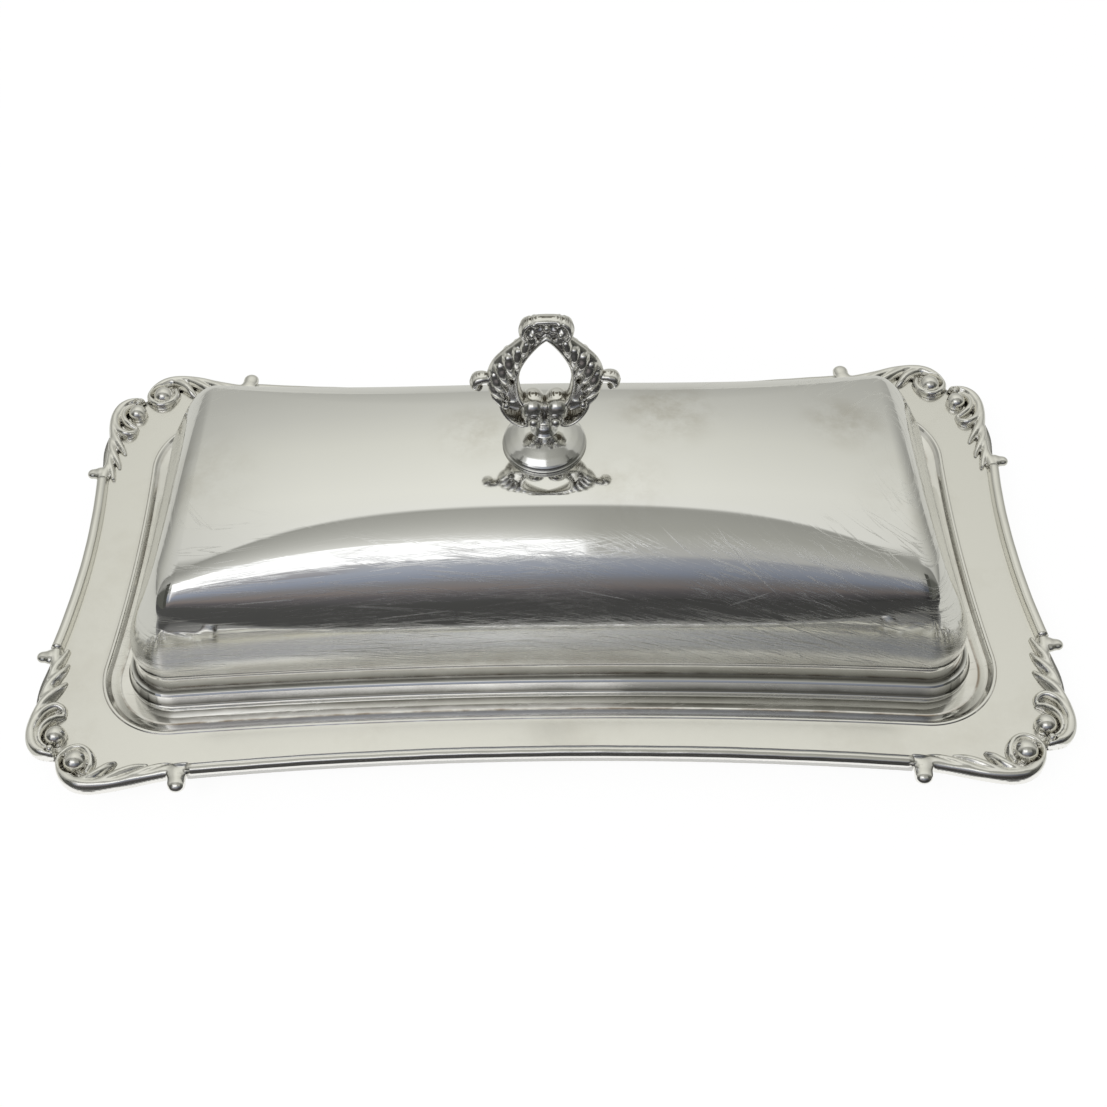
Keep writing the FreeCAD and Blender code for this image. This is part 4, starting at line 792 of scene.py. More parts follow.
finialSizes = {
    "pitch": 0.18,
    "low": (-17.4, -5.6, 52.9),
    "high": (17.6, 5.6, 86.0),
    "lean": (0.1, 58.0, 0.032),      # the soldered casting leans a little to the right
    "bottom": 53.3,
    "strokes": [
        # crest
        [(0.0, 82.3, 2.5, 1.5), (2.4, 82.1, 2.45, 1.5), (3.3, 81.6, 2.2, 1.5)],
        [(0.0, 84.35, 0.7, 1.5), (2.3, 84.2, 0.7, 1.5), (3.4, 83.6, 0.6, 1.5)],
        [(3.6, 83.9, 0.6, 1.7), (4.6, 82.9, 0.8, 2.0), (4.9, 81.3, 0.9, 2.0), (4.4, 79.9, 0.8, 1.9)],
        # arm behind the lobes
        [(3.4, 79.0, 1.8, 1.4), (5.2, 76.7, 2.2, 1.5), (7.0, 74.4, 2.6, 1.6), (8.6, 71.9, 3.0, 1.6),
         (9.6, 69.4, 2.9, 1.5),
         (10.1, 66.8, 2.4, 1.4), (10.1, 64.7, 1.7, 1.3), (9.6, 62.6, 1.0, 1.3)],
        # round lobes that fan out from the lower end of the opening
        [(4.1, 78.7, 1.15, 2.2), (4.5, 77.3, 1.3, 2.5), (5.0, 75.4, 0.9, 2.0)],
        [(5.9, 76.8, 1.3, 2.3), (6.0, 75.2, 1.45, 2.8), (6.0, 73.2, 1.15, 2.5), (6.0, 72.0, 0.8, 2.0)],
        [(7.9, 74.9, 1.4, 2.3), (7.7, 73.3, 1.6, 2.9), (7.2, 71.1, 1.25, 2.6), (6.9, 69.5, 0.8, 2.0)],
        [(9.6, 72.4, 1.45, 2.2), (9.2, 70.9, 1.6, 2.8), (8.5, 68.9, 1.25, 2.6), (7.8, 67.4, 0.8, 2.0)],
        [(10.9, 69.7, 1.35, 2.0), (10.4, 68.3, 1.5, 2.6), (9.6, 66.7, 1.25, 2.4), (8.6, 65.3, 0.8, 1.8)],
        [(11.5, 67.1, 1.1, 1.7), (10.9, 65.9, 1.3, 2.3), (10.1, 64.4, 1.1, 2.1), (9.2, 63.2, 0.7, 1.7)],
        [(11.5, 64.9, 0.7, 1.3), (10.8, 63.4, 0.9, 1.8), (9.9, 61.9, 0.8, 1.8), (9.3, 60.9, 0.6, 1.6)],
        # curled knob
        [(12.4, 68.3, 1.0, 1.4), (13.6, 68.4, 1.1, 1.7), (14.8, 67.9, 1.2, 1.9), (15.0, 66.8, 1.2, 1.9),
         (14.3, 66.1, 1.0, 1.7)],
        # lower scroll
        [(9.6, 62.0, 0.7, 1.7), (9.3, 60.0, 0.6, 2.0), (8.3, 58.2, 0.55, 2.4), (6.8, 57.0, 0.55, 3.0),
         (5.1, 56.5, 0.55, 3.5),
         (3.7, 56.9, 0.5, 3.8)],
        [(9.0, 61.2, 0.8, 0.8), (7.0, 60.4, 1.6, 0.9), (5.0, 60.0, 1.8, 1.2)],
        # band round the opening
        [(0.0, 80.3, 0.7, 1.8), (1.8, 78.6, 0.65, 1.9), (3.9, 75.7, 0.65, 2.0), (5.5, 72.6, 0.65, 2.2),
         (6.2, 69.4, 0.65, 2.3),
         (6.2, 66.8, 0.65, 2.3), (5.8, 64.4, 0.65, 2.3), (5.0, 62.3, 0.65, 2.3), (3.9, 60.8, 0.65, 2.3)],
        # thin plate between the band and the arm
        [(7.4, 68.4, 1.1, 0.9), (7.4, 65.6, 1.6, 0.9), (6.9, 62.6, 1.8, 0.9)],
        # double body and stem
        [(2.6, 57.8, 2.4, 2.9), (2.6, 59.2, 2.95, 3.6), (2.6, 60.4, 3.0, 3.8)],
        [(0.0, 52.6, 2.1, 2.1), (0.0, 55.0, 2.1, 2.2), (0.0, 57.0, 2.2, 2.8), (0.0, 59.8, 2.2, 3.0)],
        # scrolls round the eyes
        [(0.7, 57.4, 0.45, 3.5), (0.6, 58.8, 0.45, 3.9), (1.3, 60.0, 0.45, 4.1), (2.4, 60.4, 0.45, 4.1),
         (3.6, 59.8, 0.45, 4.0),
         (4.1, 58.4, 0.45, 3.8), (3.7, 57.1, 0.42, 3.6)],
    ],
    # (x, z, radius, distance of its middle from the plate's middle)
    "eyes": [(2.4, 58.4, 1.2, 3.9), (0.0, 82.9, 0.8, 1.3), (2.6, 83.9, 0.6, 1.3), (3.0, 80.9, 0.7, 1.2),
             (8.4, 61.4, 0.9, 1.6)],
    # (x, z, reach, depth) of the hollows in the crest and the knob
    "hollows": [(1.3, 82.9, 0.8, 1.0), (3.0, 82.4, 0.7, 0.9), (0.3, 81.2, 0.9, 0.9), (1.9, 80.9, 0.6, 0.8),
                (13.7, 66.5, 0.6, 1.9), (2.4, 58.6, 1.1, 0.7)],
}


def buildFinial():
    s = finialSizes
    pitch = s["pitch"]
    axes = [np.arange(a, b, pitch) for a, b in zip(s["low"], s["high"])]
    x, z = np.meshgrid(axes[0], axes[2], indexing="ij")
    shift, leanFrom, leanShare = s["lean"]
    side = np.abs(x - shift - leanShare * np.clip(z - leanFrom, 0, None))
    depth = np.full(x.shape, -3.0)
    for line in s["strokes"]:
        q, top = strokeShare(side, z, smoothLine(line))
        lobe = np.where(q < 1, top * np.sqrt(np.clip(1 - q ** 2.6, 0, 1)), -(q - 1) * 1.4)
        depth = blendMax(depth, lobe, 0.2)
    for hx, hz, reach, deep in s["hollows"]:
        depth -= deep * np.exp(-((side - hx) ** 2 + (z - hz) ** 2) / reach ** 2)
    # the body is split in two lobes
    depth -= 0.5 * np.exp(-(side / 0.5) ** 2) * smoothStep(z, 57.6, 59.5) * smoothStep(70 - z, 2, 5)
    y = axes[1][None, :, None]
    field = np.abs(y) - depth[:, None, :]
    field = np.maximum(field, s["bottom"] - z[:, None, :])
    for ex, ez, radius, out in s["eyes"]:
        flat = (side - ex) ** 2 + (z - ez) ** 2
        ball = np.sqrt(flat[:, None, :] + (np.abs(y) - out) ** 2) - radius
        field = -blendMax(-field, -ball, 0.12)
    verts, faces = surfaceNet(field, s["low"], pitch)
    verts = relax(verts, faces, 2, 0.4)
    # painted shade: the hollows of the relief darken the colour
    dark = cavity(np.clip(depth, -0.2, None), 12)
    obj = addMesh("finial_openwork", verts, faces, "cover", ["finial_casting"])
    storeValue(obj, "paintedShade", paintedShadeAt(dark, verts[:, ::2], s["low"][::2], pitch))
    return obj


pan, panInward = buildPan()
print("pan built")
mouldings = [
    buildMoulding("moulding_front", "side_moulding_front", *mouldingSizes["side"], 0),
    buildMoulding("moulding_back", "side_moulding_back", *mouldingSizes["side"], math.pi),
    buildMoulding("moulding_right", "end_moulding_right", *mouldingSizes["end"], math.pi / 2),
    buildMoulding("moulding_left", "end_moulding_left", *mouldingSizes["end"], -math.pi / 2),
]
castings = buildCastings()
print("castings built")
cover = buildCover()
footBand = buildFoot()
bell = buildFinialFoot()
finial = buildFinial()
print("cover and finial built")


# Materials

def newMaterial(name):
    mat = bpy.data.materials.new(name)
    mat.use_nodes = True
    nodes, links = mat.node_tree.nodes, mat.node_tree.links
    return mat, nodes, links, nodes["Principled BSDF"]


def addNode(nodes, kind, **settings):
    node = nodes.new(kind)
    for key, value in settings.items():
        if key in node.inputs:
            node.inputs[key].default_value = value
        else:
            setattr(node, key, value)
    return node


def ramp(nodes, links, value, stops):
    node = nodes.new("ShaderNodeValToRGB")
    links.new(value, node.inputs["Fac"])
    while len(node.color_ramp.elements) < len(stops):
        node.color_ramp.elements.new(0.5)
    for element, (place, value) in zip(node.color_ramp.elements, stops):
        element.position = place
        element.color = (value, value, value, 1) if isinstance(value, (int, float)) else (*value, 1)
    return node.outputs["Color"]


def grainOf(nodes, links, coords, scale, detail, roughness=0.5):
    noise = addNode(nodes, "ShaderNodeTexNoise", Scale=scale, Detail=detail, Roughness=roughness)
    links.new(coords, noise.inputs["Vector"])
    return noise.outputs["Fac"]


def raised(nodes, links, value, factor, base):
    node = addNode(nodes, "ShaderNodeMath", operation="MULTIPLY_ADD")
    node.inputs[1].default_value = factor
    links.new(value, node.inputs[0])
    links.new(base, node.inputs[2])
    return node.outputs[0]


def stainedAndShaded(nodes, links, shader, share, clean, stainAndShade):
    colour = addNode(nodes, "ShaderNodeMix", data_type="RGBA")
    colour.inputs["A"].default_value = (*clean, 1)
    colour.inputs["B"].default_value = (*stainAndShade, 1)
    links.new(share, colour.inputs["Factor"])
    links.new(colour.outputs["Result"], shader.inputs["Base Color"])


def roughBetween(nodes, links, shader, value, low, high):
    rough = addNode(nodes, "ShaderNodeMapRange")
    rough.inputs["To Min"].default_value = low
    rough.inputs["To Max"].default_value = high
    links.new(value, rough.inputs["Value"])
    links.new(rough.outputs["Result"], shader.inputs["Roughness"])


def bumped(nodes, links, shader, height, strength, distance):
    bump = addNode(nodes, "ShaderNodeBump", Strength=strength, Distance=distance)
    links.new(height, bump.inputs["Height"])
    links.new(bump.outputs["Normal"], shader.inputs["Normal"])


def mixedDown(nodes, links, outputs, operation):
    # joins several outputs two by two with one operation
    total = outputs[0]
    for output in outputs[1:]:
        joint = addNode(nodes, "ShaderNodeMath", operation=operation)
        links.new(total, joint.inputs[0])
        links.new(output, joint.inputs[1])
        total = joint.outputs[0]
    return total


def fadeAlong(nodes, links, value, start, stop, strength=1.0):
    # 0 at start, the strength at stop
    fade = addNode(nodes, "ShaderNodeMapRange", interpolation_type="SMOOTHSTEP")
    fade.inputs["From Min"].default_value = start
    fade.inputs["From Max"].default_value = stop
    fade.inputs["To Max"].default_value = strength
    links.new(value, fade.inputs["Value"])
    return fade.outputs["Result"]


def scratchLayer(nodes, links, coords, turn, scale, stretch, low, high):
    # thin lines: a noise stretched far along one direction and cut narrowly
    mapping = addNode(nodes, "ShaderNodeMapping", vector_type="TEXTURE")
    mapping.inputs["Rotation"].default_value = turn
    mapping.inputs["Scale"].default_value = (stretch / scale, 0.06, 1 / scale)
    links.new(coords, mapping.inputs["Vector"])
    noise = addNode(nodes, "ShaderNodeTexNoise", Scale=1.0, Detail=2.0, Roughness=0.5, Distortion=0.3)
    links.new(mapping.outputs[0], noise.inputs["Vector"])
    cut = ramp(nodes, links, noise.outputs["Fac"], [(low, 0.0), ((low + high) / 2, 1.0), (high, 0.0)])
    return cut


def longScratch(nodes, links, coords, x, z, slant, length, width):
    # one scratch, straight along its own direction and fading at both ends
    mapping = addNode(nodes, "ShaderNodeMapping", vector_type="TEXTURE")
    mapping.inputs["Location"].default_value = (x, 0, z)
    mapping.inputs["Rotation"].default_value = (0, slant, 0)
    mapping.inputs["Scale"].default_value = (length / 2, 1, width)
    links.new(coords, mapping.inputs["Vector"])
    parts = addNode(nodes, "ShaderNodeSeparateXYZ")
    links.new(mapping.outputs[0], parts.inputs[0])
    fades = []
    for axis, full in (("X", 0.5), ("Z", 0.3)):
        away = addNode(nodes, "ShaderNodeMath", operation="ABSOLUTE")
        links.new(parts.outputs[axis], away.inputs[0])
        fades.append(fadeAlong(nodes, links, away.outputs[0], 1.0, full))
    return mixedDown(nodes, links, fades, "MULTIPLY")


coverLook = {
    "silver": (0.88, 0.878, 0.855),
    "tarnishAndShade": (0.60, 0.57, 0.50),
    "roughLow": 0.03,
    "roughHigh": 0.085,
    # (x, y, reach) in metres and strength of the tarnish clouds; the last, round the finial's foot, is
    # tarnish and a painted contact shadow
    "clouds": [(0.028, 0.012, 0.017, 0.75), (0.070, 0.010, 0.014, 0.7), (-0.016, 0.004, 0.013, 0.5),
               (0.018, -0.012, 0.014, 0.35),
               (-0.080, -0.004, 0.02, 0.35), (0.084, -0.014, 0.02, 0.3), (0.0005, 0.0, 0.0125, 1.0)],
    # (turn, threads per metre, stretch, low, high, strength, start, full) of the scratches from wiping:
    # low and high cut the noise, start and full say where they fade in along the cover
    "scratches": [((0, -0.04, 0), 1500, 60, 0.595, 0.635, 0.7, 0.06, -0.01),
                  ((0, 0.07, 0), 1100, 45, 0.60, 0.64, 0.8, 0.05, -0.02),
                  ((0, 0.26, 0), 1300, 40, 0.59, 0.63, 0.9, -0.02, 0.03),
                  ((0, 0.42, 0), 1000, 30, 0.60, 0.64, 0.9, 0.0, 0.05),
                  ((0, 0.14, 0), 1600, 50, 0.60, 0.635, 0.7, -0.09, -0.02),
                  ((0, 0.34, 0), 1900, 50, 0.57, 0.60, 0.8, -0.03, 0.02),
                  ((0, -0.10, 0), 2000, 60, 0.57, 0.60, 0.7, 0.06, -0.01)],
    # (x, z, slant, length, width) in metres of the single deeper scratches on the front
    "longScratches": [(-0.0295, 0.0294, -0.11, 0.021, 0.00016), (-0.031, 0.027, 0.055, 0.018, 0.00014),
                      (0.044, 0.0385, 0.66, 0.023, 0.00016), (0.0445, 0.0322, -0.31, 0.012, 0.00014),
                      (-0.018, 0.0445, 0.07, 0.014, 0.00014), (-0.062, 0.0335, -0.03, 0.017, 0.00016),
                      (0.012, 0.0335, 0.2, 0.016, 0.00013), (0.027, 0.043, 0.5, 0.014, 0.00014)],
    "scratchTop": (0.0455, 0.041),      # heights between which the scratches fade out
    "scratchDepth": 0.32,
    "mottle": [(0.38, 0.0), (0.62, 1.0)],
    "lowBlur": (0.027, 0.019, 0.13),    # heights between which the wall gets duller, and by how much
}


# The foot's dark colour paints shade and dark reflection on its risers; the bell uses the same colour for
# its tarnish clouds.
footLook = {
    **coverLook,
    "tarnishAndShade": (0.2, 0.195, 0.175),
    "mottle": [(0.3, 0.6), (0.65, 0.8)],
    "roughHigh": 0.06,
    "scratches": [((0, 0.0, 0), 1500, 60, 0.605, 0.635, 0.25, -0.2, -0.15)],
    "longScratches": [],
    "scratchDepth": 0.1,
    "lowBlur": None,
}
bellLook = {
    **footLook,
    "roughLow": 0.07,
    "roughHigh": 0.16,
    "clouds": [(0.007, -0.003, 0.0085, 0.9), (-0.008, -0.001, 0.0085, 0.9), (0.0, 0.007, 0.011, 0.8)],
}


def cloudMask(nodes, links, coords, spots):
    # soft round spots, the strongest one counts at each place
    fades = []
    for x, y, reach, strength in spots:
        away = addNode(nodes, "ShaderNodeVectorMath", operation="SUBTRACT")
        away.inputs[1].default_value = (x, y, 0.046)
        links.new(coords, away.inputs[0])
        length = addNode(nodes, "ShaderNodeVectorMath", operation="LENGTH")
        links.new(away.outputs[0], length.inputs[0])
        fades.append(fadeAlong(nodes, links, length.outputs["Value"], reach, 0.0, strength))
    return mixedDown(nodes, links, fades, "MAXIMUM")


def coverMaterial(name="polished_silver_plate", look=coverLook, usePaintedShade=False):
    mat, nodes, links, shader = newMaterial(name)
    shader.inputs["Metallic"].default_value = 1.0
    coords = addNode(nodes, "ShaderNodeTexCoord").outputs["Object"]
    mottle = grainOf(nodes, links, coords, 120.0, 6.0, 0.65)
    uneven = ramp(nodes, links, mottle, look["mottle"])
    # With usePaintedShade the colour darkens by the stored painted shade; otherwise by the tarnish clouds,
    # whose last one is partly a painted contact shadow.
    if usePaintedShade:
        tarnishAndShadeMask = addNode(nodes, "ShaderNodeAttribute", attribute_name="paintedShade").outputs["Fac"]
    else:
        tarnishAndShadeMask = cloudMask(nodes, links, coords, look["clouds"])
    stainAndShade = mixedDown(nodes, links, [tarnishAndShadeMask, uneven], "MULTIPLY")
    stainedAndShaded(nodes, links, shader, stainAndShade, look["silver"], look["tarnishAndShade"])
    place = addNode(nodes, "ShaderNodeSeparateXYZ")
    links.new(coords, place.inputs[0])
    lines = []
    for turn, scale, stretch, low, high, strength, start, full in look["scratches"]:
        line = scratchLayer(nodes, links, coords, turn, scale, stretch, low, high)
        fade = fadeAlong(nodes, links, place.outputs["X"], start, full, strength)
        lines.append(mixedDown(nodes, links, [line, fade], "MULTIPLY"))
    total = mixedDown(nodes, links, lines, "MAXIMUM")
    # the scratches come in patches, where the cover was wiped
    patches = grainOf(nodes, links, coords, 45.0, 3.0)
    worn = ramp(nodes, links, patches, [(0.32, 0.3), (0.52, 1.0)])
    marks = mixedDown(nodes, links, [total, worn], "MULTIPLY")
    single = [longScratch(nodes, links, coords, *line) for line in look["longScratches"]]
    marks = mixedDown(nodes, links, [marks, *single], "MAXIMUM")
    if look["scratchTop"]:
        fade = fadeAlong(nodes, links, place.outputs["Z"], *look["scratchTop"])
        marks = mixedDown(nodes, links, [marks, fade], "MULTIPLY")
    rough = addNode(nodes, "ShaderNodeMapRange")
    rough.inputs["From Min"].default_value = 0.35
    rough.inputs["From Max"].default_value = 0.7
    rough.inputs["To Min"].default_value = look["roughLow"]
    rough.inputs["To Max"].default_value = look["roughHigh"]
    links.new(patches, rough.inputs["Value"])
    dull = raised(nodes, links, marks, 0.5, rough.outputs["Result"])
    if look["lowBlur"]:
        top, full, amount = look["lowBlur"]
        dull = raised(nodes, links, fadeAlong(nodes, links, place.outputs["Z"], top, full), amount, dull)
    links.new(dull, shader.inputs["Roughness"])
    dents = grainOf(nodes, links, coords, 30.0, 2.0)
    bump = addNode(nodes, "ShaderNodeBump", Strength=0.35, Distance=0.00003)
    links.new(dents, bump.inputs["Height"])
    cuts = addNode(nodes, "ShaderNodeBump", Strength=look["scratchDepth"], Distance=0.00002)
    links.new(marks, cuts.inputs["Height"])
    links.new(bump.outputs["Normal"], cuts.inputs["Normal"])
    links.new(cuts.outputs["Normal"], shader.inputs["Normal"])
    return mat


# The ledge's dark brown colour is painted shade along the rolled step.
ledgeLook = {
    "silver": (0.87, 0.86, 0.83),
    "tarnishAndShade": (0.26, 0.19, 0.13),
    "roughLow": 0.05,
    "roughHigh": 0.14,
    "scratches": [((1.5708, 0, 0.02), 1400, 60, 0.60, 0.64, 0.6, -0.2, -0.15),
                  ((1.5708, 0, 0.3), 1100, 30, 0.61, 0.64, 0.4, -0.2, -0.15)],
    "longScratches": [],
    "scratchTop": None,
    "scratchDepth": 0.2,
    "mottle": [(0.38, 0.0), (0.62, 1.0)],
    "lowBlur": None,
}


trayLook = {
    "silver": (0.88, 0.87, 0.83),
    "tarnishAndShade": (0.60, 0.56, 0.48),
    "rough": (0.17, 0.22),
}


def trayMaterial():
    mat, nodes, links, shader = newMaterial("satin_silver_plate")
    shader.inputs["Metallic"].default_value = 1.0
    coords = addNode(nodes, "ShaderNodeTexCoord").outputs["Object"]
    clouds = grainOf(nodes, links, coords, 35.0, 6.0, 0.65)
    stainAndShade = ramp(nodes, links, clouds, [(0.5, 0.0), (0.85, 0.4)])
    stainedAndShaded(nodes, links, shader, stainAndShade, trayLook["silver"], trayLook["tarnishAndShade"])
    grain = grainOf(nodes, links, coords, 420.0, 3.0)
    roughBetween(nodes, links, shader, grain, *trayLook["rough"])
    bumped(nodes, links, shader, grain, 0.06, 0.00002)
    return mat


# The cast silver gets painted shade in the hollows of its relief.
castLook = {
    "silver": (0.86, 0.85, 0.81),
    "paintedShade": (0.13, 0.115, 0.09),
    "rough": (0.17, 0.42),
}


def castMaterial(name, shadeFrom, shadeTo):
    mat, nodes, links, shader = newMaterial(name)
    shader.inputs["Metallic"].default_value = 1.0
    coords = addNode(nodes, "ShaderNodeTexCoord").outputs["Object"]
    paintedShade = addNode(nodes, "ShaderNodeAttribute", attribute_name="paintedShade")
    noise = grainOf(nodes, links, coords, 260.0, 5.0, 0.65)
    # painted shade: the stored values, with a little uneven tone, darken the colour
    uneven = raised(nodes, links, noise, 0.35, paintedShade.outputs["Fac"])
    dark = addNode(nodes, "ShaderNodeMapRange")
    dark.inputs["From Min"].default_value = shadeFrom + 0.17
    dark.inputs["From Max"].default_value = shadeTo + 0.17
    links.new(uneven, dark.inputs["Value"])
    stainedAndShaded(nodes, links, shader, dark.outputs["Result"], castLook["silver"], castLook["paintedShade"])
    roughBetween(nodes, links, shader, dark.outputs["Result"], *castLook["rough"])
    bumped(nodes, links, shader, noise, 0.3, 0.0001)
    return mat


def glassMaterial():
    mat, nodes, links, shader = newMaterial("pressed_glass")
    shader.inputs["Base Color"].default_value = (0.93, 0.97, 0.95, 1)
    shader.inputs["Transmission Weight"].default_value = 1.0
    shader.inputs["IOR"].default_value = 1.5
    coords = addNode(nodes, "ShaderNodeTexCoord").outputs["Object"]
    noise = grainOf(nodes, links, coords, 90.0, 2.0)
    roughBetween(nodes, links, shader, noise, 0.01, 0.06)
    bumped(nodes, links, shader, noise, 0.1, 0.0002)
    return mat


def brassMaterial():
    mat, nodes, links, shader = newMaterial("turned_brass")
    shader.inputs["Metallic"].default_value = 1.0
    coords = addNode(nodes, "ShaderNodeTexCoord").outputs["Object"]
    noise = grainOf(nodes, links, coords, 300.0, 4.0)
    colour = ramp(nodes, links, noise, [(0.3, (0.50, 0.36, 0.16)), (0.7, (0.78, 0.60, 0.30))])
    links.new(colour, shader.inputs["Base Color"])
    roughBetween(nodes, links, shader, noise, 0.25, 0.45)
    return mat


def dress(obj, *materials):
    obj.data.materials.clear()
    for material in materials:
        obj.data.materials.append(material)


polished = coverMaterial()
satin = trayMaterial()
borderCast = castMaterial("cast_silver_border", 0.4, 1.0)
finialCast = castMaterial("cast_silver_finial", 0.12, 0.55)
dress(pan, satin, coverMaterial("polished_ledge", ledgeLook, True))
pan.data.polygons.foreach_set("material_index", panInward.astype(np.int32))
dress(cover, polished)
dress(footBand, coverMaterial("polished_foot", footLook, True))
dress(bell, coverMaterial("polished_bell", bellLook))
dress(finial, finialCast)
for piece in mouldings + castings:
    dress(piece, borderCast)
dress(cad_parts["glass_liner"], glassMaterial())
brass = brassMaterial()
for node in ("finial_stud", "finial_washer", "finial_nut"):
    dress(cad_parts[node], brass)
print("materials set")


# Studio: pale floor, a tent of light round the dish, and a dark mat in front that only reflections see

studio = {
    "floorSize": 3.0,
    "floorDrop": 0.0003,
    "floorWhite": 0.9,
    "tentRadius": 1.5,
    "tentLength": 3.2,
    "mat": (-1.6, 1.6, -1.5, -0.0735),
    "sideCloth": 0.123,      # where the pale cloth beside the dish starts
    "backCloth": 0.068,
}


def bareMaterial(name):
    mat = bpy.data.materials.new(name)
    mat.use_nodes = True
    mat.cycles.emission_sampling = "NONE"
    nodes, links = mat.node_tree.nodes, mat.node_tree.links
    nodes.clear()
    return mat, nodes, links, nodes.new("ShaderNodeOutputMaterial").inputs["Surface"]


def buildFloor():
    h = studio["floorSize"]
    z = -studio["floorDrop"]
    mesh = bpy.data.meshes.new("floor")
    mesh.from_pydata([(-h, -h, z), (h, -h, z), (h, h, z), (-h, h, z)], [], [(0, 1, 2, 3)])
    floor = bpy.data.objects.new("floor", mesh)
    bpy.context.scene.collection.objects.link(floor)
    mat, nodes, links, surface = bareMaterial("pale_floor")
    diffuse = addNode(nodes, "ShaderNodeBsdfDiffuse", Color=(0.9, 0.9, 0.9, 1))
    white = addNode(nodes, "ShaderNodeEmission", Color=(1, 1, 1, 1))
    # even white to the camera and in reflections, matt to the light
    path = addNode(nodes, "ShaderNodeLightPath")
    rays = [path.outputs["Is " + kind + " Ray"] for kind in ("Camera", "Glossy", "Transmission")]
    share = addNode(nodes, "ShaderNodeMath", operation="MULTIPLY")
    share.inputs[1].default_value = studio["floorWhite"]
    links.new(mixedDown(nodes, links, rays, "MAXIMUM"), share.inputs[0])
    mix = addNode(nodes, "ShaderNodeMixShader")
    links.new(share.outputs[0], mix.inputs["Fac"])
    links.new(diffuse.outputs[0], mix.inputs[1])
    links.new(white.outputs[0], mix.inputs[2])
    links.new(mix.outputs[0], surface)
    mesh.materials.append(mat)
    return floor


dimCloth = (0.07, 0.071, 0.063)
whiteCloth = (1.25, 1.26, 1.28)
# (angle in degrees from the front horizon over the top to the back horizon, colour)
tentBands = [
    (0, (0.055, 0.055, 0.055)), (8, (0.085, 0.08, 0.085)), (14, (0.16, 0.14, 0.135)),
    (20, (0.165, 0.16, 0.165)),
    (27, (0.20, 0.22, 0.27)), (36, (0.27, 0.29, 0.34)), (43, (0.32, 0.33, 0.36)), (46, (0.44, 0.44, 0.43)),
    (62, (0.42, 0.42, 0.39)), (72, (0.37, 0.37, 0.34)), (93, (0.33, 0.33, 0.305)),
    (95.5, (0.36, 0.36, 0.335)),
    (98.5, (0.80, 0.80, 0.76)), (115, (0.80, 0.80, 0.745)), (135, (0.70, 0.70, 0.645)),
    (150, (0.58, 0.58, 0.54)),
    (163, (0.50, 0.50, 0.465)), (180, (0.44, 0.44, 0.41)),
]
# (sideways place in metres, light) for the high part of the tent and for the low front part
tentHigh = [(-1.6, 0.72), (-0.9, 0.78), (-0.55, 1.0), (-0.15, 1.06), (0.25, 1.0), (0.8, 0.9), (1.6, 0.74)]
tentLow = [(-1.6, 1.2), (-0.2, 1.35), (0.0, 1.2), (0.25, 0.9), (0.5, 0.62), (0.8, 0.42), (1.6, 0.4)]


def tentLight(angle, x):
    angles, tones = zip(*tentBands)
    band = np.array([np.interp(angle, angles, tone) for tone in zip(*tones)])
    high = np.interp(x, *zip(*tentHigh))
    low = np.interp(x, *zip(*tentLow))
    share = float(smoothStep(angle, 43, 50))
    # the window's light spreads up the cloth above it
    spread = 0
    if 61 <= angle < 94:
        spread = 0.42 * math.exp((61 - angle) / 13) * float(smoothStep(-x, -0.12, 0.05))
    return band * (low + (high - low) * share) + spread


def glowCloth(name):
    mat, nodes, links, surface = bareMaterial(name)
    glow = addNode(nodes, "ShaderNodeEmission")
    colour = addNode(nodes, "ShaderNodeAttribute", attribute_name="cloth")
    links.new(colour.outputs["Color"], glow.inputs["Color"])
    links.new(glow.outputs[0], surface)
    return mat


def hangCloth(name, verts, faces, colours):
    # a piece of the studio that only reflections see, coloured point by point
    mesh = bpy.data.meshes.new(name)
    mesh.from_pydata(verts, [], faces)
    layer = mesh.color_attributes.new("cloth", "FLOAT_COLOR", "POINT")
    for point, colour in zip(layer.data, colours):
        point.color = (*(float(c) for c in colour), 1.0)
    cloth = bpy.data.objects.new(name, mesh)
    bpy.context.scene.collection.objects.link(cloth)
    mesh.materials.append(glowCloth(name + "_cloth"))
    for flag in ("visible_camera", "visible_diffuse", "visible_shadow", "visible_transmission"):
        setattr(cloth, flag, False)
    return cloth


def buildTent():
    r, half = studio["tentRadius"], studio["tentLength"] / 2
    angles = np.linspace(0, 180, 361)
    places = np.linspace(-half, half, 33)
    verts, colours = [], []
    for angle in angles:
        a = math.radians(angle)
        for x in places:
            verts.append((x, -r * math.cos(a), r * math.sin(a)))
            colours.append(tentLight(angle, x))
    faces = lineFaces(len(angles), len(places))
    hangCloth("tent", verts, faces, colours)
    for name, x in (("tent_left", -half), ("tent_right", half)):
        verts, colours = [], []
        for angle in angles:
            a = math.radians(angle)
            low = float(smoothStep(angle, 80, 60))
            for share in np.linspace(0.02, 1, 8):
                verts.append((x, -share * r * math.cos(a), share * r * math.sin(a)))
                light = tentLight(angle, x) * (0.75 + 0.25 * share)
                colours.append(light * (1 - low) + np.array(dimCloth) * 1.5 * low)
        hangCloth(name, verts, lineFaces(len(angles), 8), colours)


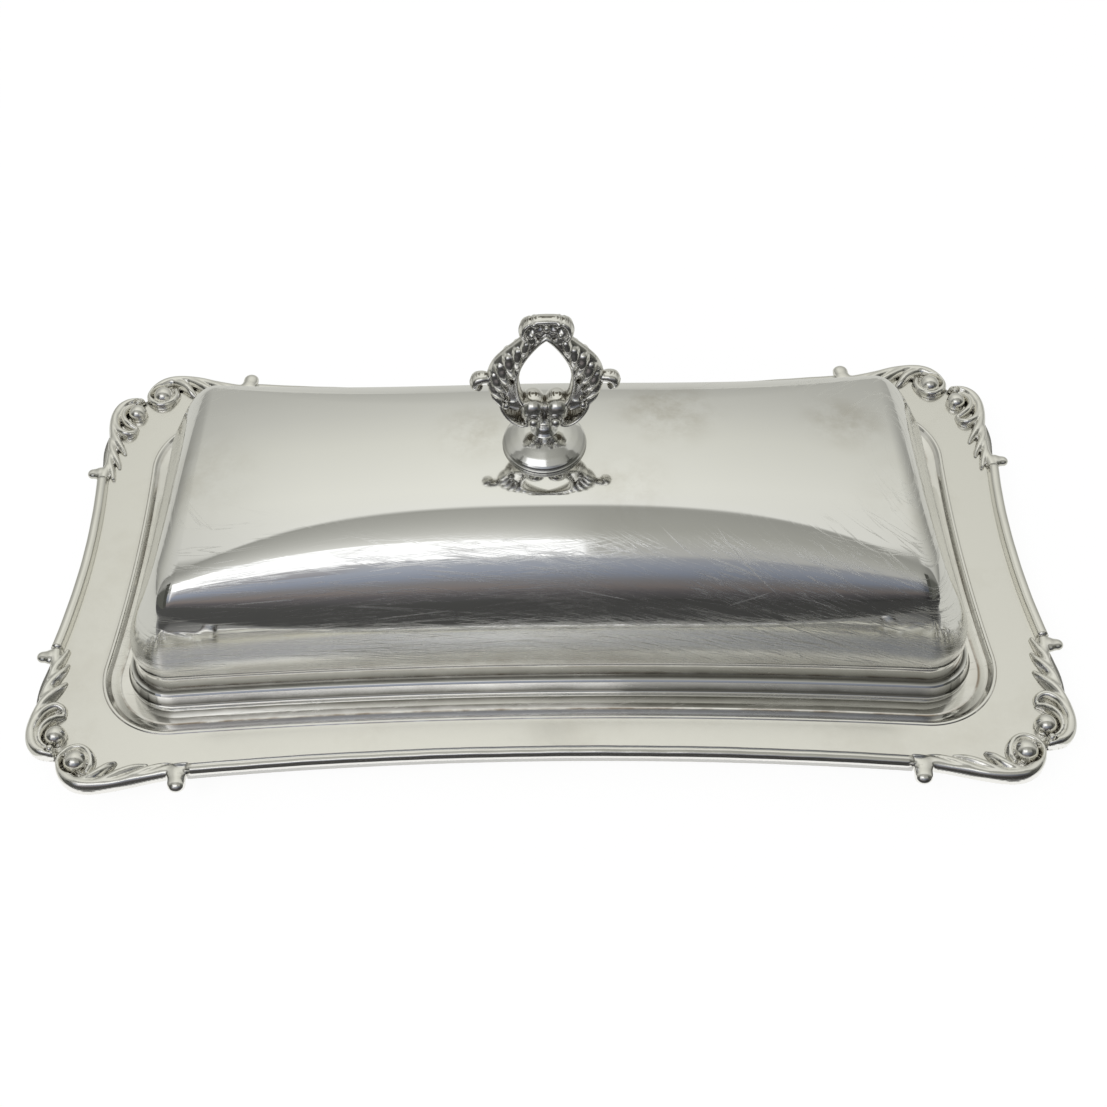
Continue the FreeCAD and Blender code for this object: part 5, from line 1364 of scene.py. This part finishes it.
# name, corners as (angle above the front horizon, sideways place), colours of the corners, distance
cards = [
    ("window_card", [(45, -0.75), (45, 0.055), (61, 0.055), (69, -0.75)], [whiteCloth] * 4, 1.2),
    # the sill under the window's far end
    ("window_sill", [(20, -0.78), (36, -0.2), (45, -0.2), (45, -0.78)],
     [(0.5, 0.5, 0.52), (0.3, 0.3, 0.33), (0.45, 0.45, 0.47), (1.05, 1.05, 1.08)], 1.19),
    # small cards that light the round corners
    ("left_card", [(22, -1.25), (22, -1.02), (34, -1.02), (34, -1.25)], [whiteCloth] * 4, 1.1),
    ("right_card", [(38, 1.05), (38, 1.4), (56, 1.4), (56, 1.05)], [whiteCloth] * 4, 1.1),
    ("left_screen", [(5, -1.5), (5, -0.95), (75, -0.95), (75, -1.5)], [dimCloth] * 4, 1.22),
    ("right_screen", [(5, 0.95), (5, 1.5), (75, 1.5), (75, 0.95)], [dimCloth] * 4, 1.22),
]


def buildCard(name, corners, colours, radius):
    verts = []
    for a, x in corners:
        t = math.radians(a)
        verts.append((x, -radius * math.cos(t), radius * math.sin(t)))
    return hangCloth(name, verts, [(0, 1, 2, 3)], colours)


def buildMat():
    x0, x1, y0, y1 = studio["mat"]
    places = (x0, -0.15, 0.15, x1)
    # it pales towards the dish
    rows = ((y0, 0.075, 0.04), (-0.081, 0.075, 0.045), (y1, 0.3, 0.26))
    verts = [(x, y, 0.0) for y, _, _ in rows for x in places]
    colours = [(grey, grey, grey * 0.98) for _, left, right in rows for grey in (left, left, right, right)]
    hangCloth("dark_mat", verts, lineFaces(len(rows), len(places)), colours)
    # the table beside and behind the dish is pale grey, so the ends of the cover don't go white
    pale, far = (0.62, 0.62, 0.58), (0.42, 0.42, 0.40)
    side, back = studio["sideCloth"], studio["backCloth"]
    for name, near, edge in (("left_table", -side, x0), ("right_table", side, x1)):
        verts = [(near, y1, 0.0), (edge, y1, 0.0), (edge, 1.5, 0.0), (near, 1.5, 0.0)]
        hangCloth(name, verts, [(0, 1, 2, 3)], [pale, far, far, pale])
    verts = [(-side, back, 0.0), (side, back, 0.0), (side, 1.5, 0.0), (-side, 1.5, 0.0)]
    return hangCloth("back_table", verts, [(0, 1, 2, 3)], [pale, pale, far, far])


buildFloor()
buildTent()
for card in cards:
    buildCard(*card)
buildMat()

scene = bpy.context.scene
world = bpy.data.worlds.new("studio_world")
scene.world = world
world.use_nodes = True
background = world.node_tree.nodes["Background"]
background.inputs["Color"].default_value = (1, 1, 1, 1)
background.inputs["Strength"].default_value = 1.0
scene.view_settings.view_transform = "Standard"


def addLamp(name, place, target, width, energy):
    light = bpy.data.lights.new(name, "AREA")
    light.shape = "RECTANGLE"
    light.size, light.size_y = width
    light.energy = energy
    lamp = bpy.data.objects.new(name, light)
    scene.collection.objects.link(lamp)
    lamp.location = place
    lamp.rotation_euler = (Vector(target) - Vector(place)).to_track_quat("-Z", "Y").to_euler()
    lamp.visible_glossy = False
    return lamp


addLamp("soft_key", (-0.6, -0.7, 1.1), (0, 0, 0.02), (0.7, 0.5), 6.0)

# Camera at the photograph's angle
cameraSizes = {
    "place": (0.001706, -0.216747, 0.272295),
    "right": (0.99982111, -0.00176116, -0.018832),
    "up": (0.01331486, 0.77268859, 0.63464562),
    "focal": 1373.64,
    "frame": 1107,
    "centre": (535.0, 553.5),
}


def buildCamera():
    s = cameraSizes
    right, up = Vector(s["right"]).normalized(), Vector(s["up"]).normalized()
    back = right.cross(up)
    data = bpy.data.cameras.new("camera")
    data.sensor_width = 36
    data.lens = s["focal"] / s["frame"] * 36
    data.shift_x = (s["frame"] / 2 - s["centre"][0]) / s["frame"]
    data.shift_y = 0
    data.clip_start = 0.01
    camera = bpy.data.objects.new("camera", data)
    scene.collection.objects.link(camera)
    camera.matrix_world = Matrix((
        (right.x, up.x, back.x, s["place"][0]), (right.y, up.y, back.y, s["place"][1]),
        (right.z, up.z, back.z, s["place"][2]), (0, 0, 0, 1)))
    scene.camera = camera
    return camera


buildCamera()
print("studio ready")
